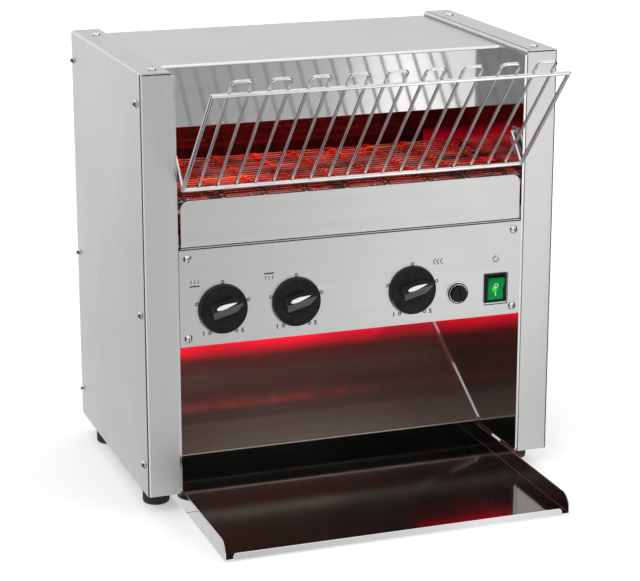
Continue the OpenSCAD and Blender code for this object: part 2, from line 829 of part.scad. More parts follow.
module fan_housing() {
    x0 = -wall_out - fan_t;
    hole_at = fan_w / 2 - 2 * fan_hole_r;
    color("black") in_case() {
        difference() {
            block(
                [x0, fan_y - fan_w / 2, fan_z - fan_w / 2],
                [-wall_out, fan_y + fan_w / 2, fan_z + fan_w / 2]);
            bar_x(x0 - 1, -wall_out + 1, fan_y, fan_z, fan_bore_r);
            for (a = [-1, 1], b = [-1, 1])
                bar_x(x0 - 1, -wall_out + 1, fan_y + a * hole_at, fan_z + b * hole_at, fan_hole_r);
        }
        bar_x(x0, x0 + 3, fan_y, fan_z, fan_hub_r);
        bar_x(x0, x0 + 12, fan_y, fan_z, fan_pin_r);
        for (a = [30, 150, 270]) translate([x0, fan_y, fan_z]) rotate([a, 0, 0])
            block([0, fan_hub_r - 5, -2.5], [3, fan_bore_r + 0.5, 2.5]);
    }
}
module fan_rotor() {
    x0 = -wall_out - fan_t + 4;
    depth = fan_t - 7;
    chord = depth;
    color("black") in_case() difference() {
        union() {
            bar_x(x0, x0 + depth, fan_y, fan_z, fan_hub_r);
            for (i = [0:fan_blades - 1])
                translate([x0 + depth / 2, fan_y, fan_z]) rotate([i * 360 / fan_blades, 0, 0])
                    rotate([0, 0, 38])
                        block([-chord / 2, -0.8, fan_hub_r - 3], [chord / 2, 0.8, fan_bore_r - 2.5]);
        }
        bar_x(x0 - 1, x0 + 10, fan_y, fan_z, fan_pin_r + running);
    }
}

// ---------------------------------------------------------------- controls

// Energy regulators behind the two heat knobs
module heat_regulators() {
    color("dimgray") in_case() for (k = [0, 1]) regulator(knob_x[k]);
}
module regulator(x) {
    difference() {
        union() {
            block(
                [x - regulator_w / 2, sheet, stem_z - regulator_h / 2],
                [x + regulator_w / 2, sheet + regulator_d, stem_z + regulator_h / 2]);
            for (k = [-1, 0, 1]) translate([x + k * regulator_w * 0.3, sheet + regulator_d, stem_z])
                block([-3, -1, -16], [3, 8, -15]);
        }
        bar_y(0, sheet + stem_in, x, stem_z, stem_r + running);
    }
}
module speed_control() {
    color("dimgray") in_case() difference() {
        union() {
            bar_y(sheet, sheet + stem_in + 4, knob_x[2], stem_z, 12);
            translate([knob_x[2], sheet + 4, stem_z]) block([-7, 0, -20], [7, 2, -8]);
        }
        bar_y(0, sheet + stem_in, knob_x[2], stem_z, stem_r + running);
    }
}
module stem(x) {
    color("gold") in_case() bar_y(-stem_out, sheet + stem_in - 1, x, stem_z, stem_r);
}
module bottom_knob_shaft() { stem(knob_x[0]); }
module top_knob_shaft() { stem(knob_x[1]); }
module speed_knob_shaft() { stem(knob_x[2]); }

// Knob with a tapered skirt, a shallow dome and a wedge-shaped grip that points up to the right,
// its narrow flat on the upper side
module knob(x) {
    rim_h = 3.6;
    dome_h = 6;
    grip_h = 14.5;
    tail = knob_r * 0.5;
    tip = knob_r * 0.7;
    color("black") in_case() translate([x, -knob_gap, stem_z]) rotate([90, 0, 0]) rotate(knob_rest)
        difference() {
            union() {
                cylinder(h = rim_h, r1 = knob_r, r2 = knob_r - 1.1);
                translate([0, 0, rim_h - 0.2])
                    cylinder(h = dome_h - rim_h, r1 = knob_r - 1.8, r2 = knob_r * 0.55);
                intersection() {
                    linear_extrude(grip_h) polygon([
                        [-tail, -9], [tip * 0.4, -9], [tip, 1], [tip, 5], [tip * 0.6, 9], [-tail, 9],
                    ]);
                    translate([-tail, 0, 0]) rotate([90, 0, 90]) linear_extrude(tail + tip)
                        polygon([[-9, 0], [9, 0], [9, rim_h], [8.6, grip_h], [4.4, grip_h], [-8, rim_h]]);
                }
            }
            translate([0, 0, -1]) cylinder(h = stem_out - knob_gap + 1, r = stem_r);
        }
}
module bottom_heat_knob() { knob(knob_x[0]); }
module top_heat_knob() { knob(knob_x[1]); }
module speed_knob() { knob(knob_x[2]); }

// Panel fuse holder and its slotted cap
module fuse_holder() {
    color("black") in_case() difference() {
        union() {
            bar_y(-2, 0, fuse_pos.x, fuse_pos.y, fuse_flange_r);
            bar_y(-2, 34, fuse_pos.x, fuse_pos.y, fuse_body_r);
            bar_y(sheet, sheet + 3, fuse_pos.x, fuse_pos.y, fuse_flange_r - 0.5);
        }
        bar_y(-3, 26, fuse_pos.x, fuse_pos.y, fuse_bore_r + running);
    }
}
module fuse_cap() {
    color("black") in_case() difference() {
        union() {
            bar_y(-6.5, -2.3, fuse_pos.x, fuse_pos.y, fuse_flange_r - 2.8);
            bar_y(-2.4, 22, fuse_pos.x, fuse_pos.y, fuse_bore_r);
        }
        translate([fuse_pos.x, -6.5, fuse_pos.y]) rotate([0, -15, 0])
            cube([1.6, 3, 3 * fuse_flange_r], center = true);
    }
}

// Power switch: bezel and body, with the rocker on a pin across it
module switch_housing() {
    x = switch_pos.x;
    z = switch_pos.y;
    body_w = switch_w - 4.4;
    body_h = switch_h - 3.4;
    color("black") in_case() {
        difference() {
            union() {
                block([x - switch_w / 2, -2, z - switch_h / 2], [x + switch_w / 2, 0, z + switch_h / 2]);
                block([x - body_w / 2, -1, z - body_h / 2], [x + body_w / 2, 24, z + body_h / 2]);
            }
            block(
                [x - rocker_half_w - 0.4, -3, z - rocker_half_h - 1.6],
                [x + rocker_half_w + 0.4, 14, z + rocker_half_h + 1.6]);
        }
        bar_x(x - rocker_half_w - 1, x + rocker_half_w + 1, rocker_y, z, rocker_pin_r);
        for (k = [-6, 0, 6]) block([x - 2.5, 23, z + k - 0.4], [x + 2.5, 32, z + k + 0.4]);
    }
}
module rocker() {
    dip = rocker_half_h * tan(rocker_tilt);
    color("limegreen") in_case() translate([switch_pos.x, rocker_y, switch_pos.y])
        rotate([rocker_tilt, 0, 0]) difference() {
            translate([-rocker_half_w, 0, 0]) rotate([90, 0, 90]) linear_extrude(2 * rocker_half_w)
                polygon([
                    [-5.2, 0], [-5.2 - dip, rocker_half_h], [-2.5, rocker_half_h], [3.5, 5],
                    [3.5, -5], [-2.5, -rocker_half_h], [-5.2 - dip, -rocker_half_h],
                ]);
            rotate([0, 90, 0]) cylinder(h = switch_w, r = rocker_pin_r + running, center = true);
        }
}

// Motor speed board on the control box's floor
module speed_board() {
    z = outlet_h + sheet;
    top = board_post + board_t - 0.1;
    rim = board_post_r + 2;
    color("seagreen") in_case()
        translate([knob_x[2] - board_room - board_w, regulator_d + board_room, z]) {
            for (x = [rim, board_w - rim], y = [rim, board_d - rim])
                translate([x, y, 0]) cylinder(h = board_post, r = board_post_r);
            translate([0, 0, board_post]) cube([board_w, board_d, board_t]);
            translate([board_w * 0.11, board_d * 0.18, top])
                cube([board_w * 0.2, board_d * 0.62, sink_h]);
            translate([board_w * 0.43, board_d * 0.36, top]) cylinder(h = sink_h, r = board_can_r);
            translate([board_w * 0.66, board_d * 0.54, top])
                cube([board_w * 0.26, board_d * 0.26, sink_h * 0.75]);
        }
}

// ---------------------------------------------------------------- mains entry

module cable_gland() {
    x = gland_pos.x;
    z = gland_pos.y;
    color("black") in_case() difference() {
        union() {
            bar_y(case_d - 8, case_d + gland_reach - 4, x, z, gland_hole_r - 0.3);
            translate([x, case_d, z]) rotate([-90, 0, 0]) cylinder(h = 5, r = gland_nut_r, $fn = 6);
            translate([x, case_d - sheet - 4, z]) rotate([-90, 0, 0])
                cylinder(h = 4, r = gland_nut_r, $fn = 6);
            bar_y(case_d + 6, case_d + gland_reach, x, z, gland_hole_r + 1);
        }
        bar_y(case_d - 9, case_d + gland_reach + 1, x, z, cable_r);
    }
}
module terminal_block() {
    pitch = terminal_w / 5;
    color("ivory") in_case() translate([gland_pos.x - terminal_w / 2, terminal_y, sheet]) difference() {
        cube([terminal_w, terminal_d, 18]);
        for (i = [0:4]) translate([(i + 0.5) * pitch, terminal_d / 2, 8]) cylinder(h = 11, r = 2.2);
        for (i = [0:4]) translate([(i + 0.5) * pitch, -1, 6]) rotate([-90, 0, 0])
            cylinder(h = terminal_d + 2, r = 2);
    }
}

// Bundle of wires from the terminals through the left compartment into the control box
module wiring_loom() {
    x_start = gland_pos.x - terminal_w / 2 + 2;
    x_in = -wall_in + 8;
    x_out = -wall_out - side_room / 2;
    low = loom_ways[0];
    high = loom_ways[1];
    color("firebrick") in_case() {
        bar_x(x_out, x_start, low.x, low.y, loom_r);
        translate([x_out, low.x, low.y]) cylinder(h = high.y - low.y, r = loom_r);
        bar_y(high.x, low.x, x_out, high.y, loom_r);
        bar_x(x_out, x_in, high.x, high.y, loom_r);
        for (p = [[low.x, low.y], [low.x, high.y], [high.x, high.y]])
            translate([x_out, p.x, p.y]) sphere(r = loom_r + 0.5);
    }
}

// ---------------------------------------------------------------- feed rack

// Direction of the rack's slope, in degrees from level
function rack_slope() = atan2(rack_rise, rack_reach);

// Puts a piece drawn in the rack's plane (across, up the slope, off it) in its place
module on_rack() {
    translate([0, rack_y, rack_z]) rotate([180 - rack_slope(), 0, 0]) mirror([0, 0, 1]) children();
}

// One hairpin of slope wire: two legs and a bend with round corners past the top wire
module hairpin(x, length) {
    bend = 4.5;
    off = rack_frame_r + rack_wire_r - 0.4;
    translate([x, 0, off]) {
        for (s = [0, rack_pitch]) wire([s, 0, 0], [s, length - bend, 0], rack_wire_r);
        bar_x(bend, rack_pitch - bend, length, 0, rack_wire_r);
        translate([bend, length - bend, 0]) rotate(90) rotate_extrude(angle = 90)
            translate([bend, 0]) circle(rack_wire_r);
        translate([rack_pitch - bend, length - bend, 0]) rotate_extrude(angle = 90)
            translate([bend, 0]) circle(rack_wire_r);
    }
}

module feed_rack() {
    first = (0.5 - hairpins) * rack_pitch;
    color("gainsboro") in_case() {
        on_rack() {
            for (y = [0, rack_len]) bar_x(-rack_half, rack_half, y, 0, rack_frame_r);
            for (x = [-rack_half, rack_half]) {
                wire([x, 0, 0], [x, rack_len, 0], rack_frame_r);
                for (y = [0, rack_len]) bead([x, y, 0], rack_frame_r);
            }
            for (i = [0:hairpins - 1]) hairpin(first + 2 * i * rack_pitch, rack_len + rack_loop);
        }
        both_sides() {
            wire([rack_half, rack_y, rack_z], [rack_half, hook_y, hook_z], rack_frame_r);
            bead([rack_half, hook_y, hook_z], rack_frame_r);
            bar_x(rack_half, wall_in - 0.4, hook_y, hook_z, rack_frame_r);
        }
    }
}

// Seats on the inner walls: an open-topped notch for the rack's tip and a ledge under its arm
module rack_hangers() {
    tip = rack_frame_r + 0.3;
    arm = atan2(hook_z - rack_z, hook_y - rack_y);
    color("silver") in_case() both_sides() difference() {
        union() {
            block([wall_in - 1.6, hook_y - 6, hook_z - 8], [wall_in, hook_y + 6, hook_z + 5]);
            translate([wall_in - 6.5, hook_y, hook_z]) rotate([arm, 0, 0])
                block([0, -22, -tip - 3], [6.5, -4, -tip]);
        }
        bar_x(wall_in - 3, wall_in + 1, hook_y, hook_z, tip);
        block([wall_in - 3, hook_y - tip, hook_z], [wall_in + 1, hook_y + tip, hook_z + 6]);
    }
}

// ---------------------------------------------------------------- tray

module collection_tray() {
    front = -tray_reach;
    top = tray_z + tray_wall;
    r = tray_round;
    lip_in = 8;
    color("whitesmoke") in_case() {
        block([-tray_half, front, tray_z], [tray_half, tray_back, tray_z + sheet]);
        block([-tray_half, tray_back - sheet, tray_z], [tray_half, tray_back, top]);
        both_sides() translate([tray_half - sheet, 0, 0]) rotate([90, 0, 90]) linear_extrude(sheet) {
            translate([front + r, tray_z]) square([tray_back - front - r, tray_wall]);
            intersection() {
                translate([front, tray_z]) square([2 * r, tray_wall]);
                union() {
                    translate([front, tray_z]) square([r, tray_wall - r]);
                    translate([front + r, top - r]) circle(r);
                }
            }
        }
        translate([0, front + sheet, 0]) rotate([90, 0, 0]) linear_extrude(sheet) {
            translate([-tray_half + lip_in, tray_z]) square([2 * (tray_half - lip_in), tray_lip - 3]);
            translate([-tray_half + lip_in + 3, tray_z]) square([2 * (tray_half - lip_in - 3), tray_lip]);
            for (s = [-1, 1]) translate([s * (tray_half - lip_in - 3), tray_z + tray_lip - 3]) circle(3);
        }
    }
}

// Angle rails under the base, which carry the tray between the feet
module tray_rails() {
    y0 = foot_end + foot_r + 6;
    y1 = case_d - foot_end - foot_r - 6;
    low = tray_z - 0.3;
    color("silver") in_case() both_sides() {
        block([wall_in, y0, low - sheet], [wall_out, y1, 0]);
        block([wall_in - 12, y0, low - 1.1], [wall_out, y1, low]);
        block([wall_in, y0, -sheet], [wall_out + 12, y1, 0]);
    }
}

// Nylon blocks at the foot of the posts, which centre the tray
module tray_guides() {
    color("dimgray") in_case() both_sides()
        block([tray_half + 0.3, 3, -4], [tray_half + 4, 3 + guide_len, 0]);
}

// ---------------------------------------------------------------- feet and screws

// Places of the four feet on the ground
module on_feet() {
    translate([0, front_y, 0]) both_sides() for (y = foot_y) translate([foot_x, y, 0]) children();
}

module rubber_feet() {
    edge = 2.5;
    color("black") on_feet() difference() {
        rotate_extrude() {
            square([foot_r - edge, foot_h]);
            translate([0, edge]) square([foot_r, foot_h - edge]);
            translate([foot_r - edge, edge]) circle(edge);
        }
        translate([0, 0, -1]) cylinder(h = 8, r = 5.5);
        cylinder(h = foot_h + 1, r = screw_r + 0.2);
    }
}
module foot_screws() {
    color("gray") on_feet() {
        translate([0, 0, 4]) cylinder(h = 3, r = 4.5);
        translate([0, 0, 6.9]) cylinder(h = foot_h + sheet + 5 - 6.9, r = screw_r);
        translate([0, 0, foot_h + sheet]) cylinder(h = 3.2, r = 4.2, $fn = 6);
    }
}
module side_screws() {
    color("gainsboro") in_case() both_sides() for (y = side_screw_y, z = side_screw_z)
        translate([half_w, y, z]) rotate([0, 90, 0]) pan_screw(6);
}
module top_screws() {
    color("gainsboro") in_case() both_sides() for (y = top_screw_y)
        translate([top_screw_x, y, case_h]) pan_screw(10);
}
module panel_screws() {
    color("gainsboro") in_case() panel_screw_places() rotate([90, 0, 0]) pan_screw(7);
}
module rear_screws() {
    color("gainsboro") in_case() both_sides() for (z = rear_screw_z)
        translate([rear_screw_x, case_d, z]) rotate([-90, 0, 0]) pan_screw(6);
}

left_side_cover();
right_side_cover();
left_inner_wall();
right_inner_wall();
top_cover();
rear_cover();
base_plate();
control_panel();
heat_shield();
control_box();
discharge_chute();
upper_reflector();
lower_reflector();
upper_insulation();
upper_elements();
lower_elements();
element_end_caps();
shaft_bushes();
idler_shaft();
idler_sprockets();
idler_clips();
drive_shaft();
drive_sprockets();
chain_wheel();
drive_clips();
conveyor_belt();
belt_runners();
gearmotor();
motor_shaft();
motor_sprocket();
drive_chain();
fan_housing();
fan_rotor();
heat_regulators();
speed_control();
bottom_heat_knob();
top_heat_knob();
speed_knob();
bottom_knob_shaft();
top_knob_shaft();
speed_knob_shaft();
fuse_holder();
fuse_cap();
switch_housing();
rocker();
speed_board();
terminal_block();
cable_gland();
wiring_loom();
feed_rack();
rack_hangers();
tray_rails();
tray_guides();
collection_tray();
rubber_feet();
foot_screws();
side_screws();
top_screws();
panel_screws();
rear_screws();
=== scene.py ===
"""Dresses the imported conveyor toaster: folded sheet edges, wire belt, quartz elements, dial marks,
knob pointers, rocker marks, finishes for every part, and a plain studio."""

import json
from functools import partial, reduce
from math import cos, pi, radians, sin, tan

import bmesh
import bpy
from mathutils import Matrix, Vector


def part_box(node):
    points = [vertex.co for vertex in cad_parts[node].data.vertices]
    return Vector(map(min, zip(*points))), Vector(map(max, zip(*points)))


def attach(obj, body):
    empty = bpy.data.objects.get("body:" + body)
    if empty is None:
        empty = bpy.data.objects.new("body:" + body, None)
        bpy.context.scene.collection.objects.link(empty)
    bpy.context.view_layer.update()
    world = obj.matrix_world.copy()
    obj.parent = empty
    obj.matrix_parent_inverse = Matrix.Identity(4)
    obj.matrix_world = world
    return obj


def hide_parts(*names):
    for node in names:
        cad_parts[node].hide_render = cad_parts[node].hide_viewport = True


bl_info = {
    "name": "Conveyor toaster",
    "version": (1, 0, 0),
    "blender": (4, 5, 0),
    "location": "3D View > Sidebar > Toaster",
    "description": "Belt, elements, marks and finishes for a countertop conveyor toaster",
    "category": "Object",
}

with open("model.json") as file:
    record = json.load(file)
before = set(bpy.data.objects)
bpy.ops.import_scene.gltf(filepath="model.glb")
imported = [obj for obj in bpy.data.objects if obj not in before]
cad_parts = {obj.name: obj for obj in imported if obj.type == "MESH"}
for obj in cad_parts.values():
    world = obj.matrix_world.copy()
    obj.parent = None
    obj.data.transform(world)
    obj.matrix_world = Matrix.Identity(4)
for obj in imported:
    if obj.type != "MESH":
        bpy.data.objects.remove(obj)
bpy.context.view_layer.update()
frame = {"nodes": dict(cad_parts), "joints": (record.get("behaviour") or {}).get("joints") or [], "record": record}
NODES = frame["nodes"]
JOINTS = {joint["name"]: joint for joint in frame["joints"]}
MM = 0.001


def axis_of(joint):
    """A point on the joint's axis."""
    return Vector(JOINTS[joint]["pos_m"])


def panel_face():
    """Front of the control panel."""
    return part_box("control_panel")[0].y


# ---- sizes and colours


def length(name, description, default, low, high):
    """A length and its limits, given in millimetres."""
    return bpy.props.FloatProperty(
        name=name, description=description, default=default * MM, min=low * MM, max=high * MM,
        unit="LENGTH")


def paint(name, description, *default):
    return bpy.props.FloatVectorProperty(
        name=name, description=description, subtype="COLOR", size=3, default=default, min=0, max=1)


class ToasterSizes(bpy.types.PropertyGroup):
    sheet_edge: length("Sheet edge", "Rounding of the sheets' edges and folds", 0.5, 0.1, 1)
    belt_wires: bpy.props.IntProperty(
        name="Belt wires", description="Cross wires all round the belt", default=46, min=40, max=90,
    )
    belt_wire: length("Belt wire", "Radius of the belt's wire", 0.7, 0.4, 1.1)
    hook_width: length("Belt hook", "Width of the hooks that join the belt's wires", 5, 3, 8)
    coil_radius: length("Heating coil", "Radius of the coil inside a quartz tube", 2.7, 1, 3.5)
    coil_pitch: length("Coil pitch", "Distance between two turns of a heating coil", 3.2, 1.5, 6)
    ring_radius: length("Dial ring", "Radius of a printed ring beside a knob", 1.8, 1, 3)
    ring_reach: length("Dial reach", "Distance of the printed rings from a knob's axis", 25.9, 24, 30)


class ToasterColours(bpy.types.PropertyGroup):
    satin: paint("Satin steel", "Colour of the brushed panels", 0.56, 0.56, 0.555)
    cover: paint("Side covers", "Colour of the brushed side covers", 0.57, 0.57, 0.565)
    polished: paint("Polished steel", "Colour of the mirror-like sheets", 0.62, 0.62, 0.615)
    glow: paint("Element glow", "Colour of the hot coils", 1.0, 0.05, 0.01)
    rocker: paint("Rocker", "Colour of the lit rocker", 0.0, 0.25, 0.05)
    print_ink: paint("Dial print", "Colour of the marks printed on the panel", 0.03, 0.03, 0.033)


def sizes():
    return bpy.context.scene.toaster_sizes


def colours():
    return bpy.context.scene.toaster_colours


# ---- hands


def dress(thing, **values):
    """Sets values by name."""
    for key, value in values.items():
        setattr(thing, key, value)
    return thing


def put_down():
    """Leaves edit mode and deselects everything."""
    if bpy.context.object and bpy.context.object.mode != "OBJECT":
        bpy.ops.object.mode_set(mode="OBJECT")
    bpy.ops.object.select_all(action="DESELECT")


def take(piece):
    put_down()
    piece.select_set(True)
    bpy.context.view_layer.objects.active = piece


def set_in(piece, everything=True):
    """Puts the piece's size into its mesh, and its place and turn too."""
    take(piece)
    bpy.ops.object.transform_apply(location=everything, rotation=everything, scale=True)


def name_new(name):
    piece = dress(bpy.context.object, name=name)
    piece.data.name = name
    return piece


def start(shape, name, place=(0, 0, 0), turn=(pi / 2, 0, 0), **values):
    """A new primitive, turned to the front."""
    getattr(bpy.ops.mesh, f"primitive_{shape}_add")(location=place, rotation=turn, **values)
    return name_new(name)


def pick(piece, test=lambda part: True, kind="FACE"):
    """Opens the piece in edit mode with the faces, edges or corners that pass the test selected."""
    take(piece)
    bpy.ops.object.mode_set(mode="EDIT")
    bpy.ops.mesh.select_mode(type=kind)
    bpy.ops.mesh.select_all(action="DESELECT")
    mesh = bmesh.from_edit_mesh(piece.data)
    for part in {"FACE": mesh.faces, "EDGE": mesh.edges, "VERT": mesh.verts}[kind]:
        if test(part):
            part.select_set(True)
    mesh.select_flush_mode()
    bmesh.update_edit_mesh(piece.data)


def draw_out(depth):
    """Draws the whole open mesh out to the front and turns its faces outward."""
    bpy.ops.mesh.select_all(action="SELECT")
    bpy.ops.mesh.extrude_region_move(TRANSFORM_OT_translate={"value": (0, -depth, 0)})
    bpy.ops.mesh.select_all(action="SELECT")
    bpy.ops.mesh.normals_make_consistent(inside=False)


def finish_with(piece, kind, **values):
    """Adds a modifier with its values and applies it."""
    take(piece)
    bpy.ops.object.modifier_add(type=kind)
    modifier = dress(piece.modifiers[-1], **values)
    bpy.ops.object.modifier_apply(modifier=modifier.name)


def join(pieces, name):
    take(pieces[0])
    for piece in pieces[1:]:
        piece.select_set(True)
    bpy.ops.object.join()
    return name_new(name)


def copy_at(piece, place):
    """A copy with its own mesh, moved by a matrix."""
    twin = piece.copy()
    twin.data = piece.data.copy()
    bpy.context.collection.objects.link(twin)
    twin.matrix_world = place @ piece.matrix_world
    return twin


def settle(piece, body, finish, angle=35):
    """Puts the piece's place into its mesh, gives it its finish and lets it ride on a body."""
    set_in(piece)
    bpy.ops.object.shade_smooth_by_angle(angle=radians(angle))
    piece.data.materials.clear()
    piece.data.materials.append(FINISHES[finish])
    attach(piece, body)
    return piece


def bent_wire(name, points, radius):
    """A six-sided wire bent through the points."""
    put_down()
    bpy.ops.curve.primitive_nurbs_path_add(location=(0, 0, 0))
    path = bpy.context.object
    path.data.splines.clear()
    spline = path.data.splines.new("POLY")
    spline.points.add(len(points) - 1)
    for place, point in zip(points, spline.points):
        point.co = (*place, 1)
    dress(path.data, dimensions="3D", bevel_depth=radius, bevel_resolution=1, use_fill_caps=True)
    bpy.ops.object.convert(target="MESH")
    return name_new(name)


# ---- shader nodes


class Nodes:
    """Short ways to add nodes to a shader's tree."""

    def __init__(self, tree):
        self.tree = tree

    def put(self, value, socket):
        """Links an input to a socket, or sets its plain value."""
        if isinstance(value, bpy.types.NodeSocket):
            self.tree.links.new(value, socket)
        else:
            socket.default_value = value

    def add(self, kind, inputs=None, **settings):
        """The outputs of a new node with these inputs and settings."""
        made = dress(self.tree.nodes.new("ShaderNode" + kind), **settings)
        for label, value in (inputs or {}).items():
            self.put(value, made.inputs[label])
        return made.outputs

    def math(self, operation, *values):
        return self.add("Math", dict(enumerate(values)), operation=operation)[0]

    def times(self, *values):
        return reduce(partial(self.math, "MULTIPLY"), values)

    def plus(self, *values):
        return reduce(partial(self.math, "ADD"), values)

    def size_of(self, value):
        return self.math("ABSOLUTE", value)

    def spread(self, value, low, high, to_low=0.0, to_high=1.0):
        """Stretches a value from one range to another."""
        return self.add("MapRange", {
            "Value": value, "From Min": low, "From Max": high, "To Min": to_low, "To Max": to_high,
        })["Result"]

    def noise(self, vector, scale, detail=2.0, **more):
        return self.add("TexNoise", {"Vector": vector, "Scale": scale, "Detail": detail, **more})["Fac"]

    def axes(self, vector):
        """The three parts of a vector, X, Y and Z."""
        return self.add("SeparateXYZ", {"Vector": vector})

    def normal(self):
        return self.axes(self.add("NewGeometry")["Normal"])

    def distance(self, vector):
        return self.add("VectorMath", {0: vector}, operation="LENGTH")["Value"]

    def blend(self, mask, first, second):
        """Colour that goes from the first to the second where the mask is 1. A number is a grey."""
        inputs = {0: mask}
        for place, value in ((6, first), (7, second)):
            value = (value,) * 3 if isinstance(value, float) else value
            inputs[place] = (*value, 1.0) if isinstance(value, tuple) else value
        return self.add("Mix", inputs, data_type="RGBA")[2]

    def mix(self, mask, first, second):
        """One shader, and another where the mask is 1."""
        return self.add("MixShader", {0: mask, 1: first[0], 2: second[0]})


def effect(name, outputs, over_place=True, **inputs):
    """A new shader node group: its nodes, what it's given and where its results go."""
    group = bpy.data.node_groups.new(name, "ShaderNodeTree")
    if over_place:
        group.interface.new_socket("Vector", in_out="INPUT", socket_type="NodeSocketVector")
    for label, value in inputs.items():
        socket = group.interface.new_socket(label, in_out="INPUT", socket_type="NodeSocketFloat")
        socket.default_value = value
    for label in outputs:
        group.interface.new_socket(label, in_out="OUTPUT", socket_type="NodeSocketFloat")
    given = group.nodes.new("NodeGroupInput").outputs
    return Nodes(group), given, group.nodes.new("NodeGroupOutput").inputs


def make_effects():
    """Grain, smudges, edge wear that also lays a painted highlight along rounded edges, rolled folds where
    finishes paint highlights, and dust, each used by several finishes.
    """
    grain, given, result = effect("Brushed grain", ("Grain", "Streaks"), Fineness=900.0)
    fine = grain.noise(given["Vector"], given["Fineness"], 3.0)
    coarse = grain.noise(given["Vector"], grain.times(given["Fineness"], 0.12))
    grain.put(fine, result["Grain"])
    grain.put(grain.spread(coarse, 0.3, 0.7), result["Streaks"])

    smudge, given, result = effect("Handling smudges", ("Smudge",), Size=14.0)
    cloud = smudge.noise(given["Vector"], given["Size"], 5.0, Roughness=0.62, Distortion=0.6)
    smudge.put(smudge.spread(cloud, 0.45, 0.72), result["Smudge"])

    # Rounded edges: a mask for wear, which the finishes also use to paint a highlight along those edges
    wear, given, result = effect("Edge wear and sheen", ("Wear",), Amount=1.0)
    form = wear.add("NewGeometry")
    lean = wear.add(
        "VectorMath", {0: form["Normal"], 1: form["True Normal"]}, operation="DOT_PRODUCT")["Value"]
    broken = wear.spread(wear.noise(given["Vector"], 160.0, 3.0), 0.35, 0.6)
    wear.put(wear.times(wear.spread(lean, 0.994, 0.975), broken, given["Amount"]), result["Wear"])

    # Rolled folds: where the brushed and polished finishes paint a highlight
    fold, given, result = effect("Rolled folds", ("Fold",), over_place=False, Amount=1.0)
    sides = fold.axes(fold.add(
        "VectorMath", {0: fold.add("NewGeometry")["Normal"]}, operation="ABSOLUTE")["Vector"])
    flat = fold.math("MAXIMUM", fold.math("MAXIMUM", sides["X"], sides["Y"]), sides["Z"])
    fold.put(fold.times(fold.spread(flat, 0.985, 0.95), given["Amount"]), result["Fold"])

    dust, given, result = effect("Fine dust", ("Dust",), Amount=0.3)
    speck = dust.spread(dust.noise(given["Vector"], 420.0, 4.0, Roughness=0.7), 0.52, 0.75)
    top = dust.spread(dust.normal()["Z"], 0.2, 1.0)
    dust.put(dust.times(speck, top, given["Amount"]), result["Dust"])
    return {"grain": grain, "smudge": smudge, "wear": wear, "fold": fold, "dust": dust}


# ---- finishes

EFFECTS = {}
FINISHES = {}


def lighter(colour, factor):
    """The colour times a factor, up to white."""
    return tuple(min(1.0, part * factor) for part in colour)


class Finish(Nodes):
    """One material under way: its nodes, its shader and the piece's own coordinates."""

    def __init__(self, name, colour, roughness=0.5, metallic=0.0, **sockets):
        FINISHES[name] = bpy.data.materials.new(name)
        FINISHES[name].use_nodes = True
        super().__init__(FINISHES[name].node_tree)
        self.shader = self.tree.nodes["Principled BSDF"]
        self.colour = colour
        self.feed(Base_Color=(*colour, 1.0), Roughness=roughness, Metallic=metallic, **sockets)
        self.place = self.add("TexCoord")["Object"]

    def feed(self, **sockets):
        """Sets or links the shader's inputs."""
        for key, value in sockets.items():
            self.put(value, self.shader.inputs[key.replace("_", " ")])

    @property
    def spot(self):
        """Across, back and up of the place."""
        return self.axes(self.place)

    def tone(self):
        """The socket that gives the colour so far."""
        return self.shader.inputs["Base Color"].links[0].from_socket

    def stretched(self, *scale):
        return self.add("Mapping", {"Vector": self.place, "Scale": scale})["Vector"]

    def group(self, name, vector=None, **values):
        """The outputs of a shared effect, laid over the piece's own coordinates."""
        made = dress(self.tree.nodes.new("ShaderNodeGroup"), node_tree=EFFECTS[name].tree)
        if "Vector" in made.inputs:
            values["Vector"] = vector or self.place
        for label, value in values.items():
            self.put(value, made.inputs[label])
        return made.outputs

    def smudge(self, size):
        return self.group("smudge", Size=size)["Smudge"]

    # Mask of rounded edges, for wear and for a painted highlight along them
    def worn(self, amount):
        return self.group("wear", Amount=amount)["Wear"]

    def speckle(self, scale, detail=2.0):
        return self.noise(self.place, scale, detail)

    def shade(self, factor, mask):
        """The finish's own colour, darker or lighter by a factor where the mask is 1."""
        return self.blend(mask, self.colour, lighter(self.colour, factor))

    def shine(self, colour, strength):
        self.feed(Emission_Color=colour, Emission_Strength=strength)

    def bump(self, height, distance, strength=1.0):
        """Raises the surface by a height of so many millimetres."""
        made = self.add("Bump", {"Height": height, "Distance": distance * MM, "Strength": strength})
        self.feed(Normal=made["Normal"])


def darkened_gaps(finish, tone, reach=2.6 * MM, alone=False, dark=0.04):
    """The colour with painted shade: near black where two surfaces meet, as ambient occlusion finds them."""
    near = finish.add("AmbientOcclusion", {"Distance": reach}, only_local=alone, samples=8)["AO"]
    finish.feed(Base_Color=finish.blend(finish.spread(near, 0.72, 0.45), tone, dark))


